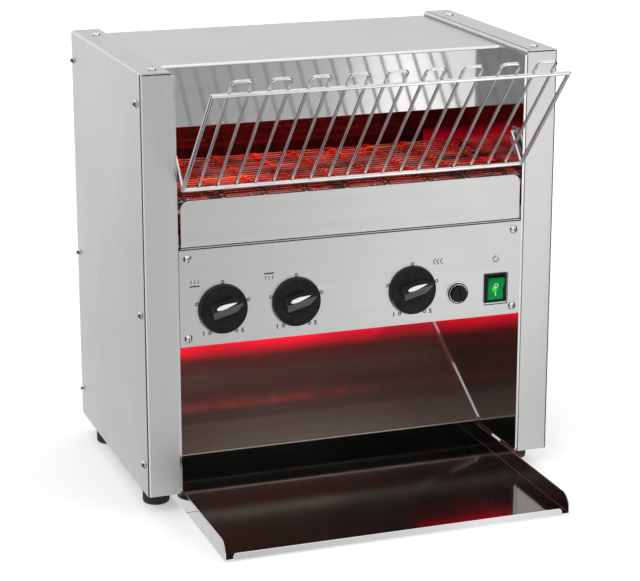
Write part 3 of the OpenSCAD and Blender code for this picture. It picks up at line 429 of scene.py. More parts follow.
def brushed(name, colour, roughness, along=(0.012, 1, 1), smudge=0.03):
    """Brushed stainless steel, its grain stretched along one axis of the object."""
    finish = Finish(name, colour, roughness, 1.0)
    grain = finish.group("grain", finish.stretched(*along), Fineness=1400.0)
    smear = finish.smudge(9.0)
    worn = finish.worn(1.0)
    fold = finish.group("fold", Amount=0.85)["Fold"]
    # Rounded edges lighter: wear, and a painted highlight
    tone = finish.blend(worn, finish.shade(0.965, grain["Streaks"]), lighter(colour, 1.35))
    lean = finish.normal()
    # Painted highlight on the rolled folds: near white where a fold faces up, paler grey elsewhere
    upward_highlight = finish.spread(lean["Z"], 0.1, 0.3)
    tone = finish.blend(fold, tone, finish.blend(upward_highlight, (0.92, 0.92, 0.91), (0.66, 0.66, 0.65)))
    # The step of the right flange starts with a painted dark line, painted shade where the fold turns away from
    # the light
    turned = finish.times(
        finish.spread(lean["X"], -0.06, -0.16), finish.spread(lean["Z"], 0.84, 0.92),
        finish.spread(finish.spot["X"], 0, 0.01))
    # Painted shade where two surfaces meet
    darkened_gaps(finish, finish.blend(turned, tone, 0.05))
    rough = finish.math("MULTIPLY_ADD", grain["Grain"], 0.08, roughness - 0.04)
    finish.feed(Roughness=finish.plus(rough, finish.times(smear, smudge), finish.times(fold, -0.2)))
    finish.bump(grain["Grain"], 0.004, 0.35)


def mirror_polished(name, colour, roughness, tint=None, waviness=0.12, metallic=1.0, top=None):
    """Polished sheet with slow waves, faint wiping marks and, near the heat, a straw tint.

    top gives the colour and added roughness of its upper side."""
    finish = Finish(name, colour, roughness, metallic)
    smear = finish.smudge(16.0)
    wipe = finish.group("grain", finish.stretched(0.03, 1, 1), Fineness=700.0)
    worn = finish.worn(0.8)
    tone = finish.shade(0.93, wipe["Streaks"])
    if tint:
        tone = finish.blend(finish.times(smear, 0.5), tone, tint)
    # Rounded edges lighter: wear, and a painted highlight
    tone = finish.blend(worn, tone, lighter(colour, 1.3))
    rough = finish.plus(finish.times(wipe["Grain"], 0.05), finish.times(smear, 0.03), roughness)
    if top:
        upper = finish.spread(finish.normal()["Z"], 0.97, 0.995)
        tone = finish.blend(upper, tone, top[0])
        rough = finish.plus(rough, finish.times(upper, top[1]))
        # Painted highlight, near white, on the rolled folds
        tone = finish.blend(finish.group("fold", Amount=0.9)["Fold"], tone, (0.95, 0.95, 0.94))
    finish.feed(Base_Color=tone, Roughness=rough)
    finish.bump(finish.speckle(7.0, 1.0), waviness)
    return finish


def chute_steel():
    """Polished sheet with a painted highlight on its folded edges and painted shade high on the liner, which shows
    the elements' red light as a painted glow.
    """
    metallic = 0.75
    finish = mirror_polished(
        "Polished chute steel", (0.56, 0.50, 0.45), 0.05, (0.48, 0.38, 0.30), 0.06, metallic)
    up, upward = finish.spot["Z"], finish.normal()["Z"]
    # Painted shade, dark red from the glow, on the liner from about 250 mm up
    painted_dark = finish.spread(up, 250 * MM, 280 * MM)
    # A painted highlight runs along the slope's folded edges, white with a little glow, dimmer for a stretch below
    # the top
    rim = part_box("discharge_chute")[1].x
    painted_edge_highlight = finish.times(
        finish.spread(finish.size_of(finish.spot["X"]), rim - 1.1 * MM, rim - 0.9 * MM),
        finish.spread(upward, 0.3, 0.6))
    off = finish.size_of(finish.math("SUBTRACT", up, 75.5 * MM))
    dimmed = finish.spread(off, 9.5 * MM, 12.5 * MM, 1.0, 0.0)
    tone = finish.blend(painted_dark, finish.tone(), (0.13, 0.07, 0.08))
    edge = finish.blend(dimmed, 1.0, 0.22)
    finish.feed(
        Base_Color=finish.blend(painted_edge_highlight, tone, edge),
        Metallic=finish.spread(painted_edge_highlight, 0.0, 1.0, metallic, 0.0))
    # A painted red glow, a band on the liner that stands in for the elements' light. Only the slope
    # and the walls beside it, close by, mirror it, as they would the elements
    path = finish.add("LightPath")
    depth = finish.size_of(finish.math("SUBTRACT", path["Ray Depth"], 1.5))
    band = finish.times(
        finish.spread(up, 158 * MM, 200 * MM), finish.spread(up, 300 * MM, 215 * MM),
        finish.math("LESS_THAN", depth, 0.9), finish.spread(path["Ray Length"], 0.36, 0.24),
        finish.spread(finish.speckle(9.0), 0.35, 0.6, 0.5, 1.0), finish.spread(upward, 0.4, 0.2))
    glow = finish.blend(band, 0.0, (1.0, 0.0, 0.035))
    shine = finish.blend(dimmed, 0.165, 0.017)
    finish.shine(finish.blend(painted_edge_highlight, glow, shine), 4.4)


def plated(name, colour, roughness, scale=260.0, depth=0.01):
    """Bright plating with fine pits and dulled spots."""
    finish = Finish(name, colour, roughness, 1.0)
    dimmed = finish.smudge(60.0)
    worn = finish.worn(0.7)
    # Rounded edges lighter: wear, and a painted highlight
    finish.feed(
        Base_Color=finish.blend(worn, finish.shade(0.82, dimmed), lighter(colour, 1.25)),
        Roughness=finish.plus(finish.times(dimmed, 0.12), roughness))
    finish.bump(finish.speckle(scale, 4.0), depth, 0.5)
    return finish


def moulded(
        name, colour, roughness, scale=1500.0, depth=0.03, rubbed_sheen=1.9, dusty=0.08, wear_and_sheen_share=0.8,
        **sockets):
    """Moulded plastic or rubber with a fine skin, rubbed edges lightened as wear and as a painted highlight, and a
    little dust.
    """
    finish = Finish(name, colour, roughness, 0.0, **sockets)
    dust = finish.group("dust", Amount=dusty)["Dust"]
    worn = finish.worn(wear_and_sheen_share)
    smear = finish.smudge(70.0)
    # Rounded edges lighter: wear, and a painted highlight
    finish.feed(
        Base_Color=finish.blend(dust, finish.shade(rubbed_sheen, worn), (0.35, 0.33, 0.30)),
        Roughness=finish.plus(finish.times(smear, 0.12), roughness))
    finish.bump(finish.speckle(scale, 3.0), depth, 0.5)
    return finish


def make_steels():
    """The sheets, wires and screws."""
    tone = colours()
    satin, cover, polished = tuple(tone.satin), tuple(tone.cover), tuple(tone.polished)
    brushed("Satin panel steel", satin, 0.34)
    brushed("Satin cover steel", cover, 0.33, (1, 1, 0.012))
    brushed("Satin plate steel", cover, 0.33)
    brushed("Inner sheet steel", (0.42, 0.42, 0.41), 0.36, smudge=0.12)
    mirror_polished(
        "Polished hood steel", (0.44, 0.44, 0.445), 0.04, (0.46, 0.44, 0.41), top=(satin, 0.24))
    mirror_polished("Polished wall steel", polished, 0.07, (0.52, 0.44, 0.36))
    chute_steel()
    # The tray's upper side is painted darker brown: a painted reflection of the dark space above it
    mirror_polished(
        "Polished tray steel", (0.62, 0.62, 0.62), 0.05, top=((0.44, 0.42, 0.40), 0.01))
    mirror_polished("Browned oven steel", (0.20, 0.13, 0.12), 0.22, (0.13, 0.09, 0.10))
    plated("Chromed wire", (0.80, 0.81, 0.82), 0.05)
    screw = plated("Plated screw steel", (0.88, 0.88, 0.87), 0.06)
    # Painted shade in the screws' recesses and round their heads
    darkened_gaps(screw, screw.tone(), 1.6 * MM, True, 0.02)
    plated("Ground shaft steel", (0.50, 0.50, 0.49), 0.24, 500.0)
    plated("Dull zinc", (0.42, 0.42, 0.41), 0.38, 180.0, 0.03)
    plated("Chain steel", (0.22, 0.21, 0.20), 0.35, 300.0)
    plated("Bronze", (0.60, 0.36, 0.16), 0.3)


def make_hot_finishes():
    """The belt, with painted shade at its front and a painted red glow under the upper elements, and the elements.
    """
    wire = Finish("Hot belt wire", (0.30, 0.27, 0.26), 0.32, 1.0)
    front = axis_of("idler_axle_turn")
    tint = wire.spread(wire.speckle(28.0, 4.0), 0.35, 0.62)
    tint = wire.blend(tint, (0.20, 0.15, 0.16), (0.42, 0.37, 0.31))
    # Painted shade: the belt's front strip is near black and less metallic
    painted_dark = wire.spread(wire.spot["Y"], front.y + 34 * MM, front.y + 16 * MM)
    pits = wire.speckle(900.0)
    wire.feed(
        Base_Color=wire.blend(painted_dark, tint, (0.010, 0.011, 0.012)),
        Metallic=wire.spread(painted_dark, 0.0, 1.0, 1.0, 0.25),
        Roughness=wire.spread(pits, 0.3, 0.7, 0.24, 0.45))
    wire.bump(pits, 0.02)
    # A painted red glow on the upper run, each wire's own, standing in for the elements' light on it
    single = wire.noise(wire.stretched(2.5, 60, 20), 3.0)
    painted_glow = wire.times(
        wire.spread(wire.spot["Y"], front.y + 30 * MM, front.y + 52 * MM),
        wire.math("GREATER_THAN", wire.spot["Z"], front.z),
        wire.spread(wire.size_of(wire.spot["X"]), 0.166, 0.15), wire.spread(single, 0.38, 0.62),
        wire.spread(wire.speckle(14.0), 0.35, 0.65, 0.35, 1.0))
    glow = wire.blend(wire.spread(single, 0.60, 0.72), (1.0, 0.022, 0.006), (1.0, 0.20, 0.02))
    wire.shine(wire.blend(painted_glow, 0.0, glow), 0.8)

    # Clear quartz with faint drawing lines, and a painted red glow for the coils' light in the tubes above the
    # belt
    quartz = Finish("Quartz glass", (1.0, 0.93, 0.88), 0.03, IOR=1.46, Transmission_Weight=1.0)
    lines = quartz.group("grain", quartz.stretched(0.01, 1, 1), Fineness=900.0)
    quartz.feed(Roughness=quartz.spread(lines["Grain"], 0.3, 0.7, 0.01, 0.06))
    quartz.bump(lines["Grain"], 0.01, 0.3)
    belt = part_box("conveyor_belt")[1].z
    painted_glow = quartz.times(
        quartz.spread(lines["Streaks"], 0.0, 1.0, 0.75, 1.0),
        quartz.spread(quartz.spot["Z"], belt, belt + 20 * MM, 0.05, 1.0))
    quartz.shine(quartz.blend(painted_glow, 0.0, (1.0, 0.025, 0.006)), 0.5)

    # Coils, hotter in the middle of the tube than at its ends; the lower ones run cooler
    for name, strength in (("Glowing upper coil", 16.0), ("Glowing lower coil", 0.12)):
        coil = Finish(name, (0.25, 0.10, 0.06), 0.6)
        hot = coil.times(
            coil.spread(coil.size_of(coil.spot["X"]), 0.172, 0.135),
            coil.spread(coil.speckle(70.0), 0.2, 0.8, 0.7, 1.15))
        coil.shine(coil.blend(hot, (0.10, 0.004, 0.0), tuple(colours().glow)), strength)


def make_inner_finishes():
    """Ceramic, mat, motor, board and wires."""
    moulded("Glazed ceramic", (0.62, 0.58, 0.50), 0.35, 300.0, 0.05, 1.1)
    moulded("Motor paint", (0.11, 0.13, 0.15), 0.45, 420.0, 0.04)
    moulded("Board lacquer", (0.02, 0.17, 0.08), 0.3, 600.0)
    mat = Finish("Insulation mat", (0.74, 0.71, 0.64), 0.95)
    fibres = mat.speckle(300.0, 6.0)
    mat.feed(Base_Color=mat.shade(0.75, fibres))
    mat.bump(fibres, 0.8)
    sleeve = Finish("Wire sleeve", (0.36, 0.06, 0.04), 0.7)
    braid = sleeve.add(
        "TexWave", {"Vector": sleeve.place, "Scale": 260.0, "Distortion": 2.0},
        bands_direction="DIAGONAL")["Fac"]
    sleeve.feed(Base_Color=sleeve.shade(0.55, braid))
    sleeve.bump(braid, 0.2)


def make_control_finishes():
    """Knobs, fuse, switch, feet and print."""
    # The knobs' edges are lightened eightfold, mostly a painted highlight
    knob = moulded(
        "Knob plastic", (0.009, 0.009, 0.0095), 0.30, 2200.0, 0.015, 8.0, 0.02, 0.12,
        Specular_IOR_Level=0.1)
    # Painted light: the sides of skirt and grip are painted paler, most of all those that look down
    lean = knob.normal()
    side = knob.times(
        knob.spread(knob.size_of(lean["Y"]), 0.84, 0.66),
        knob.spread(knob.speckle(260.0, 3.0), 0.3, 0.7, 0.85, 1.0))
    painted_light = knob.blend(knob.spread(lean["Z"], -0.2, -0.6), (0.030, 0.030, 0.031), 0.30)
    knob.feed(Base_Color=knob.blend(side, knob.tone(), painted_light))
    moulded(
        "Black plastic", (0.008, 0.008, 0.0085), 0.34, 1600.0, 0.02, 5.0, 0.02,
        Specular_IOR_Level=0.15)
    moulded("Nylon", (0.05, 0.05, 0.052), 0.5)
    moulded("Foot rubber", (0.016, 0.016, 0.016), 0.72, 700.0, 0.08, 2.6)
    moulded("Pointer enamel", (0.93, 0.93, 0.92), 0.35, 900.0, rubbed_sheen=0.9, dusty=0.0)
    moulded("Switch mark", (0.88, 0.92, 0.88), 0.4, 900.0, rubbed_sheen=0.9, dusty=0.0)
    ink = Finish("Dial ink", tuple(colours().print_ink), 0.6)
    ink.feed(Base_Color=ink.shade(1.8, ink.spread(ink.speckle(900.0, 3.0), 0.45, 0.75)))

    # Lit rocker: green resin, brightest where the lamp sits behind its middle
    resin = Finish("Lit rocker", tuple(colours().rocker), 0.2, Specular_IOR_Level=0.08)
    lamp = axis_of("power_rock") + Vector((-1.0, -5.6, -0.8)) * MM
    centred = resin.add("Mapping", {"Vector": resin.place, "Location": tuple(-lamp)})["Vector"]
    near = resin.math("POWER", resin.spread(resin.distance(centred), 5.0 * MM, 0.5 * MM), 2.0)
    cells = resin.add("TexVoronoi", {"Vector": resin.place, "Scale": 700.0})["Distance"]
    resin.feed(Base_Color=resin.shade(0.8, resin.spread(cells, 0.0, 0.8)))
    resin.shine(resin.blend(near, (0.0, 0.06, 0.01), (0.12, 0.9, 0.0)), 1.0)
    resin.bump(cells, 0.02, 0.4)


# ---- what each part wears

# Nodes that NODE_FINISH doesn't name take their slot's finish
SLOT_FINISH = {
    "satin_steel": "Satin panel steel", "polished_steel": "Polished hood steel",
    "chromed_wire": "Chromed wire", "plated_screw": "Plated screw steel",
    "plated_steel": "Ground shaft steel", "belt_wire": "Hot belt wire", "quartz": "Quartz glass",
    "ceramic": "Glazed ceramic", "insulation": "Insulation mat", "bronze": "Bronze",
    "black_knob": "Knob plastic", "black_plastic": "Black plastic", "rocker_green": "Lit rocker",
    "black_rubber": "Foot rubber", "nylon": "Nylon", "motor_paint": "Motor paint",
    "board": "Board lacquer", "wire_sleeve": "Wire sleeve",
}
NODE_FINISH = {
    "Satin cover steel": "left_side_cover right_side_cover", "Satin plate steel": "rear_cover",
    "Polished hood steel": "top_cover", "Polished chute steel": "discharge_chute",
    "Polished tray steel": "collection_tray",
    "Polished wall steel": "left_inner_wall right_inner_wall",
    "Inner sheet steel": "base_plate control_box tray_rails",
    "Browned oven steel": "upper_reflector lower_reflector",
    "Chain steel": "drive_chain chain_wheel motor_sprocket", "Dull zinc": "rack_hangers belt_runners",
}
FOLDED_SHEETS = (
    "left_side_cover right_side_cover left_inner_wall right_inner_wall top_cover rear_cover "
    "base_plate control_panel heat_shield control_box discharge_chute upper_reflector "
    "lower_reflector collection_tray tray_rails tray_guides rack_hangers")
# The other rounded parts, by the width of their edges in millimetres
MOULDED_PARTS = {
    0.2: "foot_screws", 0.3: "fuse_holder fan_rotor",
    0.4: "fuse_cap rocker cable_gland rubber_feet terminal_block speed_control",
    0.5: "bottom_heat_knob top_heat_knob speed_knob switch_housing",
    0.6: "fan_housing heat_regulators", 0.8: "gearmotor", 1.5: "upper_insulation",
}


def round_edges(piece, width):
    """Joins the node's loose triangles and rounds its edges, as live modifiers."""
    new = piece.modifiers.new
    dress(new("Join", "WELD"), merge_threshold=0.01 * MM)
    dress(new("Flat faces", "DECIMATE"), decimate_type="DISSOLVE", angle_limit=radians(1))
    dress(
        new("Edge", "BEVEL"), width=width, segments=2, limit_method="ANGLE",
        angle_limit=radians(38), use_clamp_overlap=True)
    dress(new("Facing", "WEIGHTED_NORMAL"), weight=90)


# ---- operators


class ToasterStep(bpy.types.Operator):
    """Common ground of the toaster's steps."""

    bl_options = {"REGISTER", "UNDO"}


class TOASTER_OT_finishes(ToasterStep):
    """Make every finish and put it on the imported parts"""

    bl_idname = "toaster.finishes"
    bl_label = "Finishes"

    def execute(self, context):
        EFFECTS.update(make_effects())
        make_steels()
        make_hot_finishes()
        make_inner_finishes()
        make_control_finishes()
        own = {name: finish for finish, names in NODE_FINISH.items() for name in names.split()}
        for part in frame["record"]["subparts"]:
            name = part["node"]
            finish = own.get(name, SLOT_FINISH[part["material_slot"]])
            for slot in NODES[name].material_slots:
                slot.material = FINISHES[finish]
        return {"FINISHED"}


class TOASTER_OT_edges(ToasterStep):
    """Round the folds of the sheets and the edges of the moulded parts"""

    bl_idname = "toaster.edges"
    bl_label = "Folds and edges"

    def execute(self, context):
        for name in FOLDED_SHEETS.split():
            round_edges(NODES[name], sizes().sheet_edge)
        for width, names in MOULDED_PARTS.items():
            for name in names.split():
                round_edges(NODES[name], width * MM)
        return {"FINISHED"}


class TOASTER_OT_belt(ToasterStep):
    """Bend one belt wire with its hooks, and lay it all round the two shafts"""

    bl_idname = "toaster.belt"
    bl_label = "Wire belt"

    hooks = 9
    bend = 1.2 * MM

    def execute(self, context):
        size = sizes()
        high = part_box("conveyor_belt")[1]
        front, back = axis_of("idler_axle_turn"), axis_of("drive_axle_turn")
        gap = back.y - front.y
        radius = high.z - front.z - size.belt_wire - 0.2 * MM
        round_one = gap + pi * radius
        around = 2 * round_one
        pitch = around / size.belt_wires
        link = self.link(high.x, pitch)

        def along(s):
            """Place on the loop at the distance s, seen from the side."""
            half, s = divmod(s % around, round_one)
            side, near, far = (-1, back, front) if half else (1, front, back)
            if s < gap:
                return Vector((0, near.y + side * s, front.z + side * radius))
            turn = (s - gap) / radius
            return Vector((0, far.y + side * radius * sin(turn), far.z + side * radius * cos(turn)))

        laid = []
        for k in range(size.belt_wires):
            here, there = along(k * pitch), along((k + 1) * pitch)
            ahead = (there - here).normalized()
            out = Vector((1, 0, 0)).cross(ahead)
            laid.append(copy_at(link, Matrix((
                (1, ahead.x, out.x, here.x), (0, ahead.y, out.y, here.y),
                (0, ahead.z, out.z, here.z), (0, 0, 0, 1)))))
        bpy.data.objects.remove(link)
        belt = settle(join(laid, "wire_belt"), "case", "Hot belt wire", 60)
        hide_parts("conveyor_belt")
        return {"FINISHED"}

    def link(self, half, pitch):
        """One wire across the belt: straight runs, and hooks that reach round the next wire."""
        wire, hook, bend = sizes().belt_wire, sizes().hook_width, self.bend
        step = (2 * half - 2 * wire - hook) / (self.hooks - 1)
        reach = pitch + 1.4 * wire
        path = []
        for k in range(self.hooks):
            middle = -half + wire + hook / 2 + k * step
            left, right = middle - hook / 2, middle + hook / 2
            path += [
                (left - (bend if k else 0), 0, 0), (left, bend, 0.2 * wire),
                (left, reach - bend, 1.1 * wire), (left + bend, reach, 1.2 * wire),
                (right - bend, reach, 1.2 * wire), (right, reach - bend, 1.1 * wire),
                (right, bend, 0.2 * wire), (right + (bend if k < self.hooks - 1 else 0), 0, 0),
            ]
        return bent_wire("belt_wire_link", path, wire)


class TOASTER_OT_elements(ToasterStep):
    """Draw one quartz tube with its coil, and copy it to its places over and under the belt"""

    bl_idname = "toaster.elements"
    bl_label = "Quartz elements"

    # The tube's ends drawn in: how far, and how much narrower
    end_steps = ((4 * MM, 0.92), (2 * MM, 0.7), (0.5 * MM, 0.35))
    wall = 0.9 * MM
    coil_wire = 0.45 * MM
    cold_end = 18 * MM

    def execute(self, context):
        for row, count in (("upper", 4), ("lower", 3)):
            low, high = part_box(row + "_elements")
            radius = (high.z - low.z) / 2
            first = Vector((0, low.y + radius, low.z + radius))
            step = (high.y - low.y - 2 * radius) / (count - 1)
            tube = self.tube(row, radius, high.x, first)
            coil = self.coil(row, high.x - self.cold_end, first)
            places = [Matrix.Translation((0, k * step, 0)) for k in range(count)]
            tubes = [copy_at(tube, place) for place in places]
            coils = [copy_at(coil, place) for place in places]
            bpy.data.objects.remove(tube)
            bpy.data.objects.remove(coil)
            glass = settle(join(tubes, row + "_quartz_tubes"), "case", "Quartz glass")
            settle(join(coils, row + "_heating_coils"), "case", f"Glowing {row} coil")
            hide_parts(row + "_elements")
        return {"FINISHED"}

    def tube(self, row, radius, half, middle):
        """Open tube, its wall thickened inwards and its ends drawn in."""
        tube = start(
            "cylinder", row + "_tube", middle, (0, pi / 2, 0), vertices=24, radius=radius,
            depth=2 * half, end_fill_type="NOTHING")
        set_in(tube)
        for inward, narrow in self.end_steps:
            pick(tube, lambda e: e.is_boundary, "EDGE")
            bpy.ops.mesh.extrude_edges_move()
            bpy.ops.transform.resize(
                value=(1 - inward / half, narrow, narrow), center_override=middle)
        finish_with(tube, "SOLIDIFY", thickness=self.wall, offset=-1)
        return tube

    def coil(self, row, half, middle):
        """A small ring of wire turned along the tube."""
        size = sizes()
        coil = start(
            "circle", row + "_coil", (-half, 0, size.coil_radius), (0, 0, 0), vertices=5,
            radius=self.coil_wire)
        set_in(coil)
        coil.location = middle
        finish_with(
            coil, "SCREW", axis="X", angle=2 * pi, screw_offset=size.coil_pitch,
            iterations=int(2 * half / size.coil_pitch), steps=8, render_steps=8,
            use_merge_vertices=True)
        return coil


class TOASTER_OT_pointers(ToasterStep):
    """Inlay the white pointer in each knob's grip"""

    bl_idname = "toaster.pointers"
    bl_label = "Knob pointers"

    tail = 6 * MM
    tip = 14.5 * MM
    half_width = 2.1 * MM
    # From these shares of the way to the tip on, it narrows
    taper = ((0.3, 0.88), (0.6, 0.8), (0.85, 0.6))
    thickness = 0.5 * MM
    standing_out = 0.2 * MM
    lean = radians(15)

    def execute(self, context):
        for knob, body, turn in (
            ("bottom_heat_knob", "bottom_heat_control", "bottom_heat_turn"),
            ("top_heat_knob", "top_heat_control", "top_heat_turn"),
            ("speed_knob", "speed_setting", "speed_turn"),
        ):
            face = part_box(knob)[0].y
            axis = axis_of(turn)
            pointer = start("circle", knob + "_pointer", vertices=28, radius=1, fill_type="NGON")
            pointer.scale = (self.tail, self.half_width, 1)
            set_in(pointer)
            # Blunt at the tail, drawn out to a point at the tip
            pick(pointer, lambda v: v.co.x > 0, "VERT")
            bpy.ops.transform.resize(value=(self.tip / self.tail, 1, 1), center_override=(0, 0, 0))
            for share, narrow in self.taper:
                pick(pointer, lambda v: v.co.x > share * self.tip, "VERT")
                bpy.ops.transform.resize(value=(1, 1, narrow), center_override=(0, 0, 0))
            draw_out(self.thickness)
            finish_with(
                pointer, "BEVEL", width=0.15 * MM, segments=2, limit_method="ANGLE",
                angle_limit=radians(60))
            pointer.matrix_world = (
                Matrix.Translation((axis.x, face + self.thickness - self.standing_out, axis.z))
                @ Matrix.Rotation(-self.lean, 4, "Y") @ Matrix.Translation((-3 * MM, 0, 6.5 * MM)))
            settle(pointer, body, "Pointer enamel")
        return {"FINISHED"}


class TOASTER_OT_dials(ToasterStep):
    """Print the rings, plain numbers and plain signs on the panel"""

    bl_idname = "toaster.dials"
    bl_label = "Dial marks"

    angles = (240, 165, 90, 15, -60)
    figure_size = 6 * MM
    lift = 0.06 * MM

    def execute(self, context):
        size = sizes()
        face = panel_face() - self.lift
        ring = start(
            "circle", "dial_ring", vertices=20, radius=size.ring_radius, fill_type="NGON")
        set_in(ring)
        pick(ring)
        bpy.ops.mesh.inset(thickness=0.95 * MM)
        bpy.ops.mesh.delete(type="FACE")
        bpy.ops.mesh.select_all(action="SELECT")
        bpy.ops.mesh.extrude_region_move(TRANSFORM_OT_translate={"value": (0, 0.05 * MM, 0)})
        put_down()
        marks = []
        for turn in ("bottom_heat_turn", "top_heat_turn", "speed_turn"):
            axis = axis_of(turn)
            for number, angle in enumerate(self.angles, 1):
                way = Vector((cos(radians(angle)), 0, sin(radians(angle))))
                spot = Vector((axis.x, face, axis.z)) + way * size.ring_reach
                marks.append(copy_at(ring, Matrix.Translation(spot)))
                if number in (1, len(self.angles)):
                    marks.append(self.figure(number, spot))
        bpy.data.objects.remove(ring)
        marks += self.signs(face)
        settle(join(marks, "dial_marks"), "case", "Dial ink")
        return {"FINISHED"}

    def figure(self, number, spot):
        """The first number to the left of its ring, the last one to the right."""
        side = -1 if number == 1 else 1
        bpy.ops.object.text_add(
            location=spot + Vector((side * 6 * MM, 0, -2.1 * MM)), rotation=(pi / 2, 0, 0))
        figure = bpy.context.object
        dress(
            figure.data, body=str(number), size=self.figure_size, offset=0.22 * MM,
            align_x="CENTER", extrude=0.02 * MM)
        bpy.ops.object.convert(target="MESH")
        return bpy.context.object

    def signs(self, face):
        """Plain signs: lower heat, upper heat, belt speed and power."""
        made = []

        def stroke(middle, x, z, *form):
            """A stroke at so many millimetres from the middle, measured in millimetres too."""
            made.append(self.stroke(Vector((middle.x + x * MM, face, middle.z + z * MM)), *form))

        for turn, up in (("bottom_heat_turn", -1), ("top_heat_turn", 1)):
            stroke(axis_of(turn), -27, 27 + 3 * up, 10, 1.3)
            for x in (-3.4, 0, 3.4):
                stroke(axis_of(turn), x - 27, 27 - 1.2 * up, 0.7, 3.8)
        for k in range(3):
            for lean in (-1, 1):
                stroke(
                    axis_of("speed_turn"), 22.4 + 3.6 * k, 26 + 1.45 * lean, 0.8, 4,
                    lean * radians(42))
        pin = axis_of("power_rock")
        strokes, opening, radius = 14, 104, 2.9
        for k in range(strokes):
            turn = radians(128 + k * (360 - opening) / (strokes - 1))
            stroke(pin, radius * cos(turn), 29 + radius * sin(turn), 0.75, 1.35, -turn)
        stroke(pin, 0, 31.3, 0.75, 3.4)
        return made

    def stroke(self, middle, wide, tall, lean=0.0):
        """One printed stroke with softened corners, leaning to the right by an angle."""
        mark = start("plane", "stroke", middle, (pi / 2, lean, 0), size=1)
        mark.scale = (wide * MM, tall * MM, 1)
        set_in(mark, everything=False)
        pick(mark, kind="VERT")
        bpy.ops.mesh.bevel(offset=0.25 * min(wide, tall) * MM, segments=2, affect="VERTICES")
        put_down()
        return mark


class TOASTER_OT_switch_marks(ToasterStep):
    """Put the ring and the bar on the rocker, the plate under its bezel on a black frame for its shadow, and
    chrome rings for the highlights round the fuse
    """

    bl_idname = "toaster.switch_marks"
    bl_label = "Rocker marks and fuse rings"

    tilt = radians(10)
    rocker_depth = 5.2 * MM

    def execute(self, context):
        ring = start(
            "torus", "rocker_off_mark", major_radius=2.0 * MM, minor_radius=0.4 * MM,
            major_segments=28, minor_segments=6)
        set_in(ring)
        pick(ring, kind="VERT")
        bpy.ops.transform.resize(value=(1, 0.3, 1.1), center_override=(0, 0, 0))
        self.lay(ring, 3.6 * MM, 1)

        bar = start("cube", "rocker_on_mark", turn=(0, 0, 0), size=1)
        bar.dimensions = (0.9 * MM, 0.2 * MM, 4.2 * MM)
        set_in(bar)
        pick(bar)
        bpy.ops.mesh.bevel(offset=0.08 * MM, segments=2)
        self.lay(bar, -5.0 * MM, -1)

        low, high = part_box("fuse_holder")
        middle = (low + high) / 2
        flange = (high.x - low.x) / 2
        # Two chrome rings round the fuse holder stand in for the highlights on its black flange: painted
        # highlights
        for name, radius, wire, ahead in (
            ("fuse_rim_highlight_ring", flange + 0.2 * MM, 0.7 * MM, 0.35 * MM),
            ("fuse_inner_highlight_ring", flange - 1.5 * MM, 0.4 * MM, 2 * MM),
        ):
            ring = start(
                "torus", name, (middle.x, panel_face() - ahead, middle.z), major_radius=radius,
                minor_radius=wire, major_segments=48, minor_segments=10)
            settle(ring, "case", "Plated screw steel")

        # Plate under the bezel, wider at the right and below, on a thin black frame that is a painted shadow round
        # its right and lower edges
        self.plate("switch_shadow_frame", 1.9 * MM, 2.9 * MM, 0.15 * MM, "Black plastic")
        self.plate("switch_plate", 1.1 * MM, 1.9 * MM, 0.3 * MM, "Satin panel steel")
        return {"FINISHED"}

    def lay(self, mark, up, leaning):
        """Lays a mark on its own one of the rocker's two faces, which meet at a shallow angle."""
        put_down()
        depth = -(self.rocker_depth + abs(up) * tan(self.tilt)) - 0.03 * MM
        mark.matrix_world = (
            Matrix.Translation(axis_of("power_rock")) @ Matrix.Rotation(self.tilt, 4, "X")
            @ Matrix.Translation((0, depth, up)) @ Matrix.Rotation(leaning * self.tilt, 4, "X"))
        settle(mark, "power_rocker", "Switch mark")

    def plate(self, name, right, below, thick, finish):
        low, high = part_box("switch_housing")
        left, above = 0.4 * MM, 0.5 * MM
        plate = start("plane", name, size=1)
        plate.scale = (high.x - low.x + left + right, high.z - low.z + above + below, 1)
        plate.location = (
            (low.x + high.x + right - left) / 2, panel_face(), (low.z + high.z + above - below) / 2)
        set_in(plate)
        pick(plate, kind="VERT")
        bpy.ops.mesh.bevel(offset=1.2 * MM, segments=4, affect="VERTICES")
        bpy.ops.mesh.select_all(action="SELECT")
        bpy.ops.mesh.inset(thickness=2.2 * MM)
        bpy.ops.mesh.delete(type="FACE")
        draw_out(thick)
        settle(plate, "case", finish)


class TOASTER_OT_panel_hem(ToasterStep):
    """Fold the thin hem seen between the control panel and the heat shield"""

    bl_idname = "toaster.panel_hem"
    bl_label = "Panel hem"

    def execute(self, context):
        low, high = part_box("control_panel")
        middle = (high.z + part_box("heat_shield")[0].z) / 2
        hem = start("cube", "panel_hem", (0, low.y + 1.1 * MM, middle), (0, 0, 0), size=1)
        hem.dimensions = (high.x - low.x - 3 * MM, 1.6 * MM, 1.2 * MM)
        set_in(hem, everything=False)
        pick(hem, lambda e: abs(e.verts[0].co.x - e.verts[1].co.x) > 0.1, "EDGE")
        bpy.ops.mesh.bevel(offset=0.4 * MM, segments=3)
        settle(hem, "case", "Inner sheet steel")
        return {"FINISHED"}


